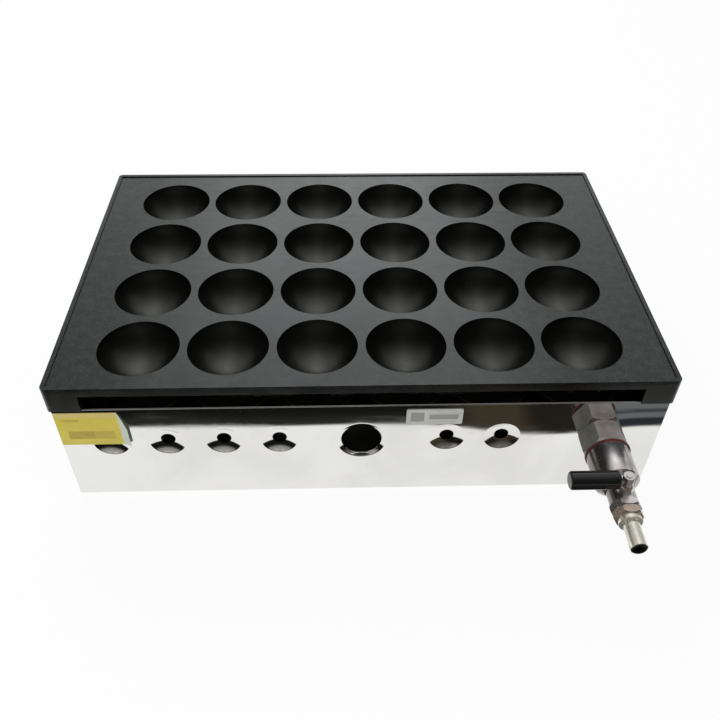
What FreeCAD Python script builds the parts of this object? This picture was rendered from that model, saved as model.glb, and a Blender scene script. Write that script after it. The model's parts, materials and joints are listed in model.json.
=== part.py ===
"""Gas takoyaki maker: a cast plate with 24 wells on a polished sheet-metal cabinet.

Millimetres, +Z up, +Y towards the back. The pieces are built around the middle of the plate, with the
bench at z = 0, and exported with the origin under the middle of the whole part.
"""
import FreeCAD, Part
import math
import os

Vector = FreeCAD.Vector
X = Vector(1, 0, 0)
Y = Vector(0, 1, 0)
Z = Vector(0, 0, 1)

# Heights of the stack
foot_height = 4.0
cabinet_height = 87.4
plate_height = 20.6

# Baking plate
plate_width = 413.0
plate_depth = 267.0
plate_slab = 7.0
plate_corner = 3.0
skirt_wall = 6.0
rim_width = 3.0
rim_height = 0.8
slot_end = 22.5  # solid skirt left at each end of an exhaust slot
lug_thickness = 4.0
lug_length = 20.0
lug_drop = 5.0
lug_clearance = 0.5

# Wells
well_columns = 6
well_rows = 4
well_margin_x = 26.5  # from the plate's sides to the first cell of the grid
well_margin_y = 11.5
well_shift_x = -0.6
well_shift_y = -2.4
well_web = 5.0  # flat metal between two wells
well_shallow = 2.5  # how much shallower than a half ball a well is
well_wall = 3.4
well_lip = 1.2

# Cabinet sheet metal
plate_overhang = 2.0
sheet = 1.2
fold_radius = 0.8
top_lip = 10.0
bottom_flange = 24.0
seam = 0.5
pan_clearance = 0.3
pan_rim = 10.0
pan_slot_length = 60.0
pan_slot_width = 6.0
pan_slot_gap = 20.0  # between two slots of a row
pan_slot_edge = 71.0  # from the cabinet's front and back
post_leg = 14.0
post_sheet = 1.5
post_gap = 1.0

# Pressed air holes and the ignition port of the front panel
dish_radius = 12.5
dish_depth = 2.4
air_hole_radius = 5.0
air_hole_drop = 32.4  # under the cabinet's top
air_hole_inner_x = 57.5
air_hole_edge = 33.0  # from the cabinet's side
side_air_holes = 3
side_air_edge = 71.5  # from the cabinet's front and back
ignition_radius = 14.0
ignition_x = -1.3
ignition_drop = 34.4
ignition_rim_radius = 17.0
ignition_rim_depth = 1.5
front_air_holes_left = 4
front_air_holes_right = 2

# Label plate and sticker on the front panel
label_left = 28.5
label_width = 38.0
label_height = 14.6
label_drop = 4.1
label_thickness = 0.5
sticker_width = 41.7
sticker_height = 31.0
sticker_drop = 3.3
sticker_thickness = 0.3

# Fasteners
screw_radius = 2.0
screw_hole_clearance = 0.1
screw_head_radius = 3.6
screw_head_height = 1.8
nut_flats = 7.0
nut_height = 3.2
screw_head_round = 1.1
screw_end = 1.0  # thread that shows past a nut or a sheet

# Feet
foot_radius = 10.0
foot_bottom_radius = 8.5
foot_inset = 13.0
foot_counterbore_radius = 4.4
foot_counterbore = 2.4

# Rear panel screws
rear_screw_rise = 26.0  # over the cabinet's bottom
rear_screw_drop = 17.4  # under its top

# Burner
burner_radius = 10.0
burner_wall = 1.2
burner_drop = 41.4  # under the cabinet's top
burner_left_gap = 46.5  # from the cabinet's left side
burner_right_gap = 58.5
burner_port_width = 1.6
burner_port_depth = 2.0
burner_port_pitch = 10.0
burner_port_margin = 10.0
cap_thickness = 2.0
cross_radius = 6.0
cross_wall = 1.0
cross_x = 0.0
cross_port_pitch = 8.0
saddle_clearance = 0.2
header_width = 24.0
header_inset = 4.0  # from the tubes' right ends
header_rise = 9.6  # over the pan
collar_height = 6.0  # from the header to the tubes' undersides
header_end_margin = 12.0  # header length past the outer burner tubes
manifold_wall = 1.2
bridge_half_length = 40.0
tower_left_reach = 14.0  # from the gas axis
tower_right_reach = 12.0
tower_rise = 11.5
collar_radius = 8.0
collar_wall = 1.2
rail_inset = 13.0  # from the tubes' left ends
rail_sheet = 1.5
rail_foot = 16.0
rail_margin = 20.0
rail_screws = 3
bracket_half_length = 30.0
bracket_foot = 16.0

# Gas line: everything between the hose and the mixing tube lies on one axis
gas_edge = 40.5  # from the cabinet's right side
gas_drop = 30.9  # under the cabinet's top
pipe_radius = 6.6
pipe_bore = 4.05
thread_clearance = 0.05
pipe_inner_end = 12.0  # inside the front panel's outer face
pipe_outer_end = 34.0  # in front of it
locknut_flats = 22.0
locknut_height = 6.0
panel_nut_flats = 28.0
panel_nut_height = 18.3
washer_radius = 15.2
washer_thickness = 1.5
union_radius = 14.5
union_length = 28.2
union_shoulder = 4.6
union_spigot_bore = 6.0
union_spigot_depth = 8.0

# Gas jet, mixing tube and air shutter
jet_hex_flats = 12.0
jet_hex_length = 5.0
jet_thread_length = 6.0
jet_nose_length = 8.0
jet_tip_length = 3.0
jet_tip_radius = 2.0
jet_bore = 2.0
jet_orifice = 0.6
mixing_radius = 9.0
mixing_wall = 1.2
mixing_mouth_wall = 2.0
mixing_mouth_gap = 2.0  # from the jet's hex to the mouth
air_window_start = 4.0  # from the mouth
air_window_length = 10.0
air_window_height = 9.0
shutter_start = 2.0
shutter_length = 20.0
shutter_wall = 1.0
shutter_clearance = 0.1
shutter_turn = 50.0
shutter_tab_width = 6.0
shutter_tab_length = 8.0
shutter_tab_thickness = 2.0
shutter_screw_radius = 1.5
shutter_screw_from_rear = 3.0
shutter_slot_clearance = 0.25
shutter_head_radius = 2.8
shutter_head_height = 2.0
shutter_head_gap = 0.3

# Ball valve
valve_flats = 18.0
valve_radius = 9.0
valve_length = 18.0
valve_hex_length = 5.0
valve_inlet_flange = 2.5
valve_inlet_bore = 3.0
valve_cavity_radius = 5.6
valve_cavity_start = 0.8
stem_from_inlet = 6.0
ball_radius = 5.0
ball_bore = 2.8
ball_slot_width = 2.0
ball_slot_depth = 1.4
seat_bore = 3.2
seat_reach = 2.7  # how near the ball's middle plane a seat comes
ball_clearance = 0.08
bonnet_radius = 5.5
bonnet_height = 10.5
gland_flats = 8.4
gland_height = 3.0
gland_spigot_radius = 4.0
gland_spigot_length = 3.0
stem_radius = 2.0
stem_clearance = 0.05
stem_collar_radius = 2.8
stem_collar_height = 1.3
tail_nut_flats = 17.0
tail_nut_length = 6.0
tail_spigot_length = 6.6

# Lever
lever_gap = 0.3
lever_hub_radius = 4.0
lever_hub_height = 2.2
lever_thickness = 2.0
lever_width = 5.0
lever_bar_end = 35.0
lever_nut_flats = 7.0
lever_nut_height = 3.0
grip_radius = 6.0
grip_start = 5.4
grip_end = 37.2
grip_round = 1.8
stem_end = 0.5

# Hose nozzle
nozzle_radius = 5.3
nozzle_bore = 3.2
nozzle_collar_radius = 7.5
nozzle_collar_length = 3.0
nozzle_spigot_radius = 5.0
nozzle_spigot_length = 9.0
nozzle_groove_radius = 4.4
nozzle_groove_length = 2.0
nozzle_land = 17.0
nozzle_tip_chamfer = 0.8

# How far a cutting shape or a joined one runs into its neighbour
overlap = 1.0

# Places that follow from the sizes above
cabinet_bottom = foot_height
cabinet_top = cabinet_bottom + cabinet_height
plate_top = cabinet_top + plate_height
field_z = plate_top - rim_height
slab_bottom = plate_top - plate_slab
cabinet_width = plate_width - 2 * plate_overhang
cabinet_depth = plate_depth - 2 * plate_overhang
front_y = -cabinet_depth / 2
panel_inner_x = cabinet_width / 2 - sheet
panel_inner_y = cabinet_depth / 2 - sheet
pan_bottom = cabinet_bottom + sheet
pan_top = pan_bottom + sheet
well_pitch_x = (plate_width - 2 * well_margin_x) / well_columns
well_pitch_y = (plate_depth - 2 * well_margin_y) / well_rows
well_radius = (min(well_pitch_x, well_pitch_y) - well_web) / 2
well_depth = well_radius - well_shallow
bowl_radius = (well_radius ** 2 + well_depth ** 2) / (2 * well_depth)
bowl_centre_z = field_z - well_depth + bowl_radius
air_hole_z = cabinet_top - air_hole_drop
air_hole_pitch = (cabinet_width / 2 - air_hole_edge - air_hole_inner_x) / (front_air_holes_left - 1)
side_air_pitch = (cabinet_depth - 2 * side_air_edge) / (side_air_holes - 1)
ignition_z = cabinet_top - ignition_drop
label_top = cabinet_top - label_drop
sticker_top = cabinet_top - sticker_drop
pan_slot_pitch = pan_slot_length + pan_slot_gap
pan_slot_y = cabinet_depth / 2 - pan_slot_edge
foot_x = cabinet_width / 2 - foot_inset
foot_y = cabinet_depth / 2 - foot_inset
burner_z = cabinet_top - burner_drop
burner_left = -cabinet_width / 2 + burner_left_gap
burner_right = cabinet_width / 2 - burner_right_gap
rail_x = burner_left + rail_inset
header_right = burner_right - header_inset
header_left = header_right - header_width
header_bottom = pan_top + header_rise
header_top = burner_z - burner_radius - collar_height
gas_x = cabinet_width / 2 - gas_edge
gas_z = cabinet_top - gas_drop
tower_left = gas_x - tower_left_reach
tower_right = gas_x + tower_right_reach
tower_top = gas_z + tower_rise
pipe_start_y = front_y + pipe_inner_end
pipe_end_y = front_y - pipe_outer_end
panel_nut_y = front_y - panel_nut_height
washer_y = panel_nut_y - washer_thickness
union_end_y = washer_y - union_length
jet_hex_y = pipe_start_y + jet_hex_length
mouth_y = jet_hex_y + mixing_mouth_gap
manifold_front_y = -bridge_half_length
shutter_y = mouth_y + shutter_start
shutter_end_y = shutter_y + shutter_length
shutter_screw_y = shutter_end_y - shutter_screw_from_rear
valve_end_y = union_end_y - valve_length
stem_y = union_end_y - stem_from_inlet
tail_nut_y = valve_end_y - tail_nut_length
collar_y = tail_nut_y - nozzle_collar_length
nozzle_tip_y = collar_y - nozzle_groove_length - nozzle_land
bonnet_top = gas_z + bonnet_height
gland_top = bonnet_top + gland_height
lever_hub_z = gland_top + lever_gap
lever_z = lever_hub_z + lever_hub_height
lever_top = lever_z + lever_thickness
shift_y = -(nozzle_tip_y + plate_depth / 2) / 2


def well_xs():
    first = well_shift_x - (well_columns - 1) * well_pitch_x / 2
    return [first + i * well_pitch_x for i in range(well_columns)]


def well_ys():
    first = well_shift_y - (well_rows - 1) * well_pitch_y / 2
    return [first + i * well_pitch_y for i in range(well_rows)]


# Shapes that several pieces share

def block(x0, x1, y0, y1, z0, z1):
    """A box between two opposite corners."""
    return Part.makeBox(x1 - x0, y1 - y0, z1 - z0, Vector(x0, y0, z0))


def centred_block(width, depth, z0, z1):
    return block(-width / 2, width / 2, -depth / 2, depth / 2, z0, z1)


def upright(radius, x, y, z0, z1):
    return Part.makeCylinder(radius, z1 - z0, Vector(x, y, z0), Z)


def along_x(radius, x0, x1, y, z):
    return Part.makeCylinder(radius, x1 - x0, Vector(x0, y, z), X)


def along_y(radius, y0, y1, x, z):
    return Part.makeCylinder(radius, y1 - y0, Vector(x, y0, z), Y)


def on_gas_axis(radius, y0, y1):
    return along_y(radius, y0, y1, gas_x, gas_z)


def tube_on_gas_axis(radius, bore, y0, y1):
    return on_gas_axis(radius, y0, y1).cut(on_gas_axis(bore, y0, y1))


def round_edges(shape, radius, chosen):
    """Fillets the edges that chosen() picks."""
    return shape.makeFillet(radius, [e for e in shape.Edges if chosen(e)])


def bevel_edges(shape, size, chosen):
    return shape.makeChamfer(size, [e for e in shape.Edges if chosen(e)])


def is_vertical(edge):
    ends = [v.Point for v in edge.Vertexes]
    return len(ends) == 2 and math.hypot(ends[0].x - ends[1].x, ends[0].y - ends[1].y) < 0.01


def hexagon(flats, height, base, axis, turn=0.0):
    """A hexagonal bar with its corners bevelled at both ends, as on a nut."""
    corner = flats / math.sqrt(3)
    points = []
    for i in range(7):
        angle = math.radians(60 * i + turn)
        points.append(Vector(corner * math.cos(angle), corner * math.sin(angle), 0))
    bar = Part.Face(Part.makePolygon(points)).extrude(Vector(0, 0, height))
    bevel = min(corner - flats / 2, height / 4)
    drum = Part.makeCylinder(corner, height)
    drum = bevel_edges(drum, bevel, lambda e: len(e.Vertexes) == 1)
    bar = bar.common(drum)
    bar.Placement = FreeCAD.Placement(base, FreeCAD.Rotation(Z, axis))
    return bar


def hexagon_on_gas_axis(flats, y0, y1):
    return hexagon(flats, y1 - y0, Vector(gas_x, y0, gas_z), Y)


def pan_screw(x, y, seat_z, tip_z):
    """A screw driven down, with its domed head on a sheet at seat_z."""
    head = upright(screw_head_radius, x, y, seat_z, seat_z + screw_head_height)
    head = round_edges(head, screw_head_round, lambda e: e.BoundBox.ZMin > seat_z + 0.1)
    shank = upright(screw_radius, x, y, tip_z, seat_z)
    return head.fuse(shank)


def group(solids):
    return Part.makeCompound(solids)


# Baking plate

def well_outside(x, y):
    """The part of a well's outer ball that hangs below the slab."""
    radius = bowl_radius + well_wall
    cut_z = slab_bottom + overlap
    latitude = math.degrees(math.asin((cut_z - bowl_centre_z) / radius))
    return Part.makeSphere(radius, Vector(x, y, bowl_centre_z), Z, -90, latitude)


def locating_lug(side_x, side_y):
    """A rib under a corner of the slab that drops just inside the cabinet's top lips."""
    outer_x = cabinet_width / 2 - top_lip - lug_clearance
    outer_y = cabinet_depth / 2 - top_lip - lug_clearance
    xs = sorted([side_x * outer_x, side_x * (outer_x - lug_thickness)])
    ys = sorted([side_y * outer_y, side_y * (outer_y - lug_length)])
    return block(xs[0], xs[1], ys[0], ys[1], cabinet_top - lug_drop, slab_bottom)


def baking_plate():
    plate = centred_block(plate_width, plate_depth, cabinet_top, plate_top)
    plate = round_edges(plate, plate_corner, is_vertical)
    inner_width = plate_width - 2 * skirt_wall
    inner_depth = plate_depth - 2 * skirt_wall
    plate = plate.cut(centred_block(inner_width, inner_depth, cabinet_top, slab_bottom))
    field = centred_block(plate_width - 2 * rim_width, plate_depth - 2 * rim_width, field_z, plate_top)
    plate = plate.cut(field)
    exhaust = centred_block(plate_width - 2 * slot_end, plate_depth, cabinet_top, slab_bottom)
    plate = plate.cut(exhaust)
    lugs = [locating_lug(side_x, side_y) for side_x in (-1, 1) for side_y in (-1, 1)]
    centres = [(x, y) for y in well_ys() for x in well_xs()]
    plate = plate.fuse(lugs + [well_outside(x, y) for x, y in centres])
    plate = plate.cut([Part.makeSphere(bowl_radius, Vector(x, y, bowl_centre_z)) for x, y in centres])
    plate = plate.removeSplitter()
    return round_edges(plate, well_lip, is_well_rim)


def is_well_rim(edge):
    box = edge.BoundBox
    at_field = abs(box.ZMin - field_z) < 0.01 and abs(box.ZMax - field_z) < 0.01
    return at_field and abs(box.XLength - 2 * well_radius) < 0.5 and abs(box.YLength - 2 * well_radius) < 0.5


# Cabinet

def pressed_dish(x, z, radius, bore_radius, depth):
    """The dished collar around a hole, in a panel whose outer face is at y = 0."""
    middle_radius = (radius + bore_radius) / 2
    full_depth = depth / (1 - (bore_radius / radius) ** 2)
    middle_depth = full_depth * (1 - (middle_radius / radius) ** 2)
    outer = [Vector(radius, 0, 0), Vector(middle_radius, middle_depth, 0), Vector(bore_radius, depth, 0)]
    inner = [p + Vector(0, sheet, 0) for p in outer]
    front = Part.Arc(outer[0], outer[1], outer[2]).toShape()
    bore = Part.makeLine(outer[2], inner[2])
    back = Part.Arc(inner[2], inner[1], inner[0]).toShape()
    rim = Part.makeLine(inner[0], outer[0])
    section = Part.Face(Part.Wire([front, bore, back, rim]))
    dish = section.revolve(Vector(0, 0, 0), Y, 360)
    dish.translate(Vector(x, 0, z))
    return dish


def folded_panel(length, lip_length, flange_length, hole_xs):
    """A panel along X with its outer face at y = 0, folded inwards at the top and bottom."""
    web = block(-length / 2, length / 2, 0, sheet, cabinet_bottom, cabinet_top)
    lip = block(-lip_length / 2, lip_length / 2, 0, top_lip, cabinet_top - sheet, cabinet_top)
    flange = block(-flange_length / 2, flange_length / 2, 0, bottom_flange, cabinet_bottom, pan_bottom)
    panel = web.fuse([lip, flange]).removeSplitter()
    panel = round_edges(panel, fold_radius, is_outer_fold)
    for x in hole_xs:
        panel = panel.cut(along_y(dish_radius, 0, sheet, x, air_hole_z))
        panel = panel.fuse(pressed_dish(x, air_hole_z, dish_radius, air_hole_radius, dish_depth))
    return panel


def is_outer_fold(edge):
    box = edge.BoundBox
    at_front = box.YMax < 0.01
    at_end = box.ZMax < cabinet_bottom + 0.01 or box.ZMin > cabinet_top - 0.01
    return at_front and at_end and box.XLength > 1


def air_hole_xs():
    left = [-air_hole_inner_x - i * air_hole_pitch for i in range(front_air_holes_left)]
    right = [air_hole_inner_x + i * air_hole_pitch for i in range(front_air_holes_right)]
    return left + right


def long_panel():
    """The form that the front and rear panels share, with its folds between the side panels."""
    fold_length = cabinet_width - 2 * sheet
    return folded_panel(cabinet_width, fold_length, fold_length, air_hole_xs())


def front_panel():
    panel = long_panel()
    panel = panel.cut(along_y(ignition_rim_radius, 0, sheet, ignition_x, ignition_z))
    rim = pressed_dish(ignition_x, ignition_z, ignition_rim_radius, ignition_radius, ignition_rim_depth)
    panel = panel.fuse(rim)
    panel = panel.cut(along_y(pipe_radius + screw_hole_clearance, 0, sheet, gas_x, gas_z))
    panel.translate(Vector(0, front_y, 0))
    return panel.cut(foot_holes())


def rear_panel():
    """The front panel's fellow, turned round, with its screws' holes."""
    panel = long_panel()
    panel.rotate(Vector(0, 0, 0), Z, 180)
    panel.translate(Vector(0, -front_y, 0))
    return panel.cut(foot_holes()).cut(rear_screw_holes())


def side_panel(side):
    """side is -1 for the left panel and 1 for the right one."""
    length = cabinet_depth - 2 * sheet
    lip_length = cabinet_depth - 2 * (top_lip + seam)
    flange_length = cabinet_depth - 2 * (bottom_flange + seam)
    holes = [side_air_pitch * (i - (side_air_holes - 1) / 2) for i in range(side_air_holes)]
    panel = folded_panel(length, lip_length, flange_length, holes)
    panel.rotate(Vector(0, 0, 0), Z, 90 * side)
    panel.translate(Vector(side * cabinet_width / 2, 0, 0))
    return panel


def base_pan():
    width = 2 * (panel_inner_x - pan_clearance)
    depth = 2 * (panel_inner_y - pan_clearance)
    pan = centred_block(width, depth, pan_bottom, pan_top + pan_rim)
    inside = centred_block(width - 2 * sheet, depth - 2 * sheet, pan_top, pan_top + pan_rim)
    pan = pan.cut(inside)
    slots = []
    for i in (-1, 0, 1):
        for j in (-1, 1):
            slot = centred_block(pan_slot_length, pan_slot_width, pan_bottom, pan_top)
            slot.translate(Vector(i * pan_slot_pitch, j * pan_slot_y, 0))
            slots.append(slot)
    return pan.cut(slots).cut(foot_holes()).cut(support_screw_holes())


def corner_post(side_x, side_y):
    """An angle inside a corner of the cabinet, between the pan's rim and the top lips."""
    z0 = pan_top + pan_rim + post_gap
    z1 = cabinet_top - sheet
    outer_x = side_x * panel_inner_x
    outer_y = side_y * panel_inner_y
    leg_xs = sorted([outer_x, outer_x - side_x * post_leg])
    leg_ys = sorted([outer_y, outer_y - side_y * post_leg])
    thin_xs = sorted([outer_x, outer_x - side_x * post_sheet])
    thin_ys = sorted([outer_y, outer_y - side_y * post_sheet])
    across = block(leg_xs[0], leg_xs[1], thin_ys[0], thin_ys[1], z0, z1)
    along = block(thin_xs[0], thin_xs[1], leg_ys[0], leg_ys[1], z0, z1)
    post = across.fuse(along).removeSplitter()
    if side_y > 0:
        post = post.cut(rear_screw_holes())
    return post


def rear_screw_places():
    x = panel_inner_x - post_leg / 2
    heights = (cabinet_bottom + rear_screw_rise, cabinet_top - rear_screw_drop)
    return [(side * x, z) for side in (-1, 1) for z in heights]


def rear_screw_holes():
    radius = screw_radius + screw_hole_clearance
    inner_y = panel_inner_y - post_sheet
    return [along_y(radius, inner_y, cabinet_depth / 2, x, z) for x, z in rear_screw_places()]


def rear_panel_screws():
    outer_y = cabinet_depth / 2
    tip_y = panel_inner_y - post_sheet - screw_end
    screws = []
    for x, z in rear_screw_places():
        screw = pan_screw(0, 0, outer_y, tip_y)
        screw.rotate(Vector(0, 0, 0), X, -90)
        screw.translate(Vector(x, 0, z))
        screws.append(screw)
    return group(screws)


# Feet

def foot_places():
    return [(side_x * foot_x, side_y * foot_y) for side_y in (-1, 1) for side_x in (-1, 1)]


def foot_holes():
    radius = screw_radius + screw_hole_clearance
    return [upright(radius, x, y, cabinet_bottom, pan_top) for x, y in foot_places()]


def foot(x, y):
    pad = Part.makeCone(foot_bottom_radius, foot_radius, foot_height, Vector(x, y, 0), Z)
    pad = pad.cut(upright(foot_counterbore_radius, x, y, 0, foot_counterbore))
    return pad.cut(upright(screw_radius + screw_hole_clearance, x, y, 0, foot_height))


def foot_screws():
    screws = []
    for x, y in foot_places():
        head = upright(screw_head_radius, x, y, foot_counterbore - screw_head_height, foot_counterbore)
        shank = upright(screw_radius, x, y, foot_counterbore, pan_top + nut_height + screw_end)
        screws.append(head.fuse(shank))
    return group(screws)


def foot_nuts():
    nuts = []
    for x, y in foot_places():
        nut = hexagon(nut_flats, nut_height, Vector(x, y, pan_top), Z)
        bore = upright(screw_radius + thread_clearance, x, y, pan_top, pan_top + nut_height)
        nuts.append(nut.cut(bore))
    return group(nuts)


# Label plate and sticker

def rating_label():
    return block(label_left, label_left + label_width, front_y - label_thickness, front_y,
                 label_top - label_height, label_top)


def yellow_sticker():
    left = -cabinet_width / 2
    return block(left, left + sticker_width, front_y - sticker_thickness, front_y,
                 sticker_top - sticker_height, sticker_top)


# Burner

def burner_outside(y, radius):
    return along_x(radius, burner_left, burner_right, y, burner_z)


def header_x():
    return (header_left + header_right) / 2


def burner_tube(y):
    bore = burner_radius - burner_wall
    tube = burner_outside(y, burner_radius).cut(burner_outside(y, bore))
    ports = []
    first = burner_left + burner_port_margin
    count = int((burner_right - burner_port_margin - first) / burner_port_pitch) + 1
    port_bottom = burner_z + burner_radius - burner_port_depth
    for i in range(count):
        x = first + i * burner_port_pitch
        ports.append(block(x - burner_port_width / 2, x + burner_port_width / 2,
                           y - burner_radius, y + burner_radius, port_bottom, burner_z + burner_radius))
    feed = upright(collar_radius - collar_wall, header_x(), y, burner_z - burner_radius, burner_z)
    return tube.cut(ports + [feed] + cross_holes(y))


def cross_holes(y):
    """Side holes of a burner tube where cross tubes meet it."""
    ys = well_ys()
    bore = cross_radius - cross_wall
    holes = []
    if y > ys[0]:
        holes.append(along_y(bore, y - burner_radius, y, cross_x, burner_z))
    if y < ys[-1]:
        holes.append(along_y(bore, y, y + burner_radius, cross_x, burner_z))
    return holes


def burner_caps(x0, x1):
    """Discs that close one end of all the burner tubes, with a shoulder inside each tube."""
    return group([along_x(burner_radius, x0, x1, y, burner_z) for y in well_ys()])


def cross_tube(y0, y1):
    tube = along_y(cross_radius, y0, y1, cross_x, burner_z)
    tube = tube.cut(along_y(cross_radius - cross_wall, y0, y1, cross_x, burner_z))
    tube = tube.cut([burner_outside(y0, burner_radius), burner_outside(y1, burner_radius)])
    middle = (y0 + y1) / 2
    ports = []
    for i in (-1, 0, 1):
        y = middle + i * cross_port_pitch
        ports.append(block(cross_x - cross_radius, cross_x + cross_radius, y - burner_port_width / 2,
                           y + burner_port_width / 2, burner_z + cross_radius - burner_port_depth,
                           burner_z + cross_radius))
    return tube.cut(ports)


def header_y_range():
    ys = well_ys()
    return ys[0] - header_end_margin, ys[-1] + header_end_margin


def manifold_form(inset):
    """The header under the tubes, the bridge beside it and the tower that takes the mixing tube."""
    y0, y1 = header_y_range()
    header = block(header_left + inset, header_right - inset, y0 + inset, y1 - inset,
                   header_bottom + inset, header_top - inset)
    bridge = block(header_left + inset, tower_right - inset, -bridge_half_length + inset,
                   bridge_half_length - inset, header_bottom + inset, header_top - inset)
    tower = block(tower_left + inset, tower_right - inset, -bridge_half_length + inset,
                  bridge_half_length - inset, header_bottom + inset, tower_top - inset)
    return header.fuse([bridge, tower]).removeSplitter()


def burner_manifold():
    manifold = manifold_form(0).cut(manifold_form(manifold_wall))
    feeds = [upright(collar_radius - collar_wall, header_x(), y, header_top - manifold_wall, header_top)
             for y in well_ys()]
    inlet = on_gas_axis(mixing_radius + thread_clearance, manifold_front_y,
                        manifold_front_y + manifold_wall)
    return manifold.cut(feeds + [inlet])


def burner_collars():
    """Short tubes that carry the gas from the header up into each burner tube."""
    collars = []
    for y in well_ys():
        collar = upright(collar_radius, header_x(), y, header_top, burner_z)
        collar = collar.cut(upright(collar_radius - collar_wall, header_x(), y, header_top, burner_z))
        collars.append(collar.cut(burner_outside(y, burner_radius)))
    return group(collars)


def rail_screw_places():
    ys = well_ys()
    x = rail_x + rail_sheet + rail_foot / 2
    step = (ys[-1] - ys[0]) / (rail_screws - 1)
    return [(x, ys[0] + i * step) for i in range(rail_screws)]


def bracket_screw_places():
    reach = bracket_half_length + bracket_foot / 2
    return [(header_x(), -reach), (header_x(), reach)]


def burner_rail():
    """A notched upright sheet that the left ends of the burner tubes lie in."""
    ys = well_ys()
    y0 = ys[0] - rail_margin
    y1 = ys[-1] + rail_margin
    web = block(rail_x, rail_x + rail_sheet, y0, y1, pan_top, burner_z)
    foot_sheet = block(rail_x, rail_x + rail_sheet + rail_foot, y0, y1, pan_top, pan_top + rail_sheet)
    rail = web.fuse(foot_sheet).removeSplitter()
    rail = rail.cut([burner_outside(y, burner_radius + saddle_clearance) for y in ys])
    return rail.cut([support_screw_hole(x, y) for x, y in rail_screw_places()])


def manifold_bracket():
    """A hat-shaped strap that carries the manifold on the pan."""
    half = bracket_half_length
    top = block(header_left, header_right, -half, half, header_bottom - sheet, header_bottom)
    webs = [block(header_left, header_right, side * half - sheet / 2, side * half + sheet / 2,
                  pan_top, header_bottom) for side in (-1, 1)]
    feet = [block(header_left, header_right, -half - bracket_foot, -half, pan_top, pan_top + rail_sheet),
            block(header_left, header_right, half, half + bracket_foot, pan_top, pan_top + rail_sheet)]
    bracket = top.fuse(webs + feet).removeSplitter()
    return bracket.cut([support_screw_hole(x, y) for x, y in bracket_screw_places()])


def support_screw_hole(x, y):
    return upright(screw_radius + screw_hole_clearance, x, y, pan_bottom, pan_top + rail_sheet)


def support_screw_holes():
    return [support_screw_hole(x, y) for x, y in rail_screw_places() + bracket_screw_places()]


def burner_screws():
    places = rail_screw_places() + bracket_screw_places()
    return group([pan_screw(x, y, pan_top + rail_sheet, pan_bottom) for x, y in places])


# Mixing tube, air shutter and jet

def air_windows():
    start = mouth_y + air_window_start
    reach = mixing_radius + 2 * shutter_wall
    return block(gas_x - reach, gas_x + reach, start, start + air_window_length,
                 gas_z - air_window_height / 2, gas_z + air_window_height / 2)


def mixing_tube():
    tube = on_gas_axis(mixing_radius, mouth_y, manifold_front_y + manifold_wall)
    inside = on_gas_axis(mixing_radius - mixing_wall, mouth_y + mixing_mouth_wall,
                         manifold_front_y + manifold_wall)
    jet_hole = on_gas_axis(pipe_bore, mouth_y, mouth_y + mixing_mouth_wall)
    screw_hole = upright(shutter_screw_radius, gas_x, shutter_screw_y, gas_z, gas_z + mixing_radius)
    return tube.cut([inside, jet_hole, air_windows(), screw_hole])


def shutter_slot():
    """The curved slot that the locking screw stands in, from the screw towards -X."""
    width = shutter_screw_radius + shutter_slot_clearance
    low = gas_z + mixing_radius - overlap
    high = gas_z + mixing_radius + 2 * shutter_wall
    corners = [Vector(gas_x, shutter_screw_y - width, low), Vector(gas_x, shutter_screw_y + width, low),
               Vector(gas_x, shutter_screw_y + width, high), Vector(gas_x, shutter_screw_y - width, high)]
    section = Part.Face(Part.makePolygon(corners + corners[:1]))
    axis_point = Vector(gas_x, 0, gas_z)
    sweep = section.revolve(axis_point, Y, -shutter_turn)
    near_end = upright(width, gas_x, shutter_screw_y, low, high)
    far_end = near_end.copy()
    far_end.rotate(axis_point, Y, -shutter_turn)
    return [sweep, near_end, far_end]


def air_shutter():
    bore = mixing_radius + shutter_clearance
    ring = on_gas_axis(bore + shutter_wall, shutter_y, shutter_end_y)
    tab = block(gas_x - shutter_tab_width / 2, gas_x + shutter_tab_width / 2, shutter_y,
                shutter_y + shutter_tab_thickness, gas_z - bore - shutter_wall - shutter_tab_length, gas_z)
    ring = ring.fuse(tab).cut(on_gas_axis(bore, shutter_y, shutter_end_y))
    return ring.cut([air_windows()] + shutter_slot()).removeSplitter()


def shutter_screw():
    head_z = gas_z + mixing_radius + shutter_clearance + shutter_wall + shutter_head_gap
    shank = upright(shutter_screw_radius, gas_x, shutter_screw_y, gas_z + mixing_radius - 2 * mixing_wall,
                    head_z)
    head = upright(shutter_head_radius, gas_x, shutter_screw_y, head_z, head_z + shutter_head_height)
    return shank.fuse(head)


def gas_jet():
    thread_y = pipe_start_y - jet_thread_length
    nose_y = jet_hex_y + jet_nose_length
    tip_y = nose_y - jet_tip_length
    nose_radius = pipe_bore - thread_clearance
    tip = Part.makeCone(nose_radius, jet_tip_radius, jet_tip_length, Vector(gas_x, tip_y, gas_z), Y)
    jet = on_gas_axis(nose_radius, thread_y, tip_y)
    jet = jet.fuse([hexagon_on_gas_axis(jet_hex_flats, pipe_start_y, jet_hex_y), tip])
    return jet.cut([on_gas_axis(jet_bore, thread_y, tip_y), on_gas_axis(jet_orifice, tip_y, nose_y)])


# Inlet

def inlet_pipe():
    return tube_on_gas_axis(pipe_radius, pipe_bore, pipe_end_y, pipe_start_y)


def pipe_nut(flats, y0, y1):
    return hexagon_on_gas_axis(flats, y0, y1).cut(on_gas_axis(pipe_radius + thread_clearance, y0, y1))


def inner_locknut():
    y0 = front_y + sheet
    return pipe_nut(locknut_flats, y0, y0 + locknut_height)


def panel_nut():
    return pipe_nut(panel_nut_flats, panel_nut_y, front_y)


def fibre_washer():
    return tube_on_gas_axis(washer_radius, pipe_radius + thread_clearance, washer_y, panel_nut_y)


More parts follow.
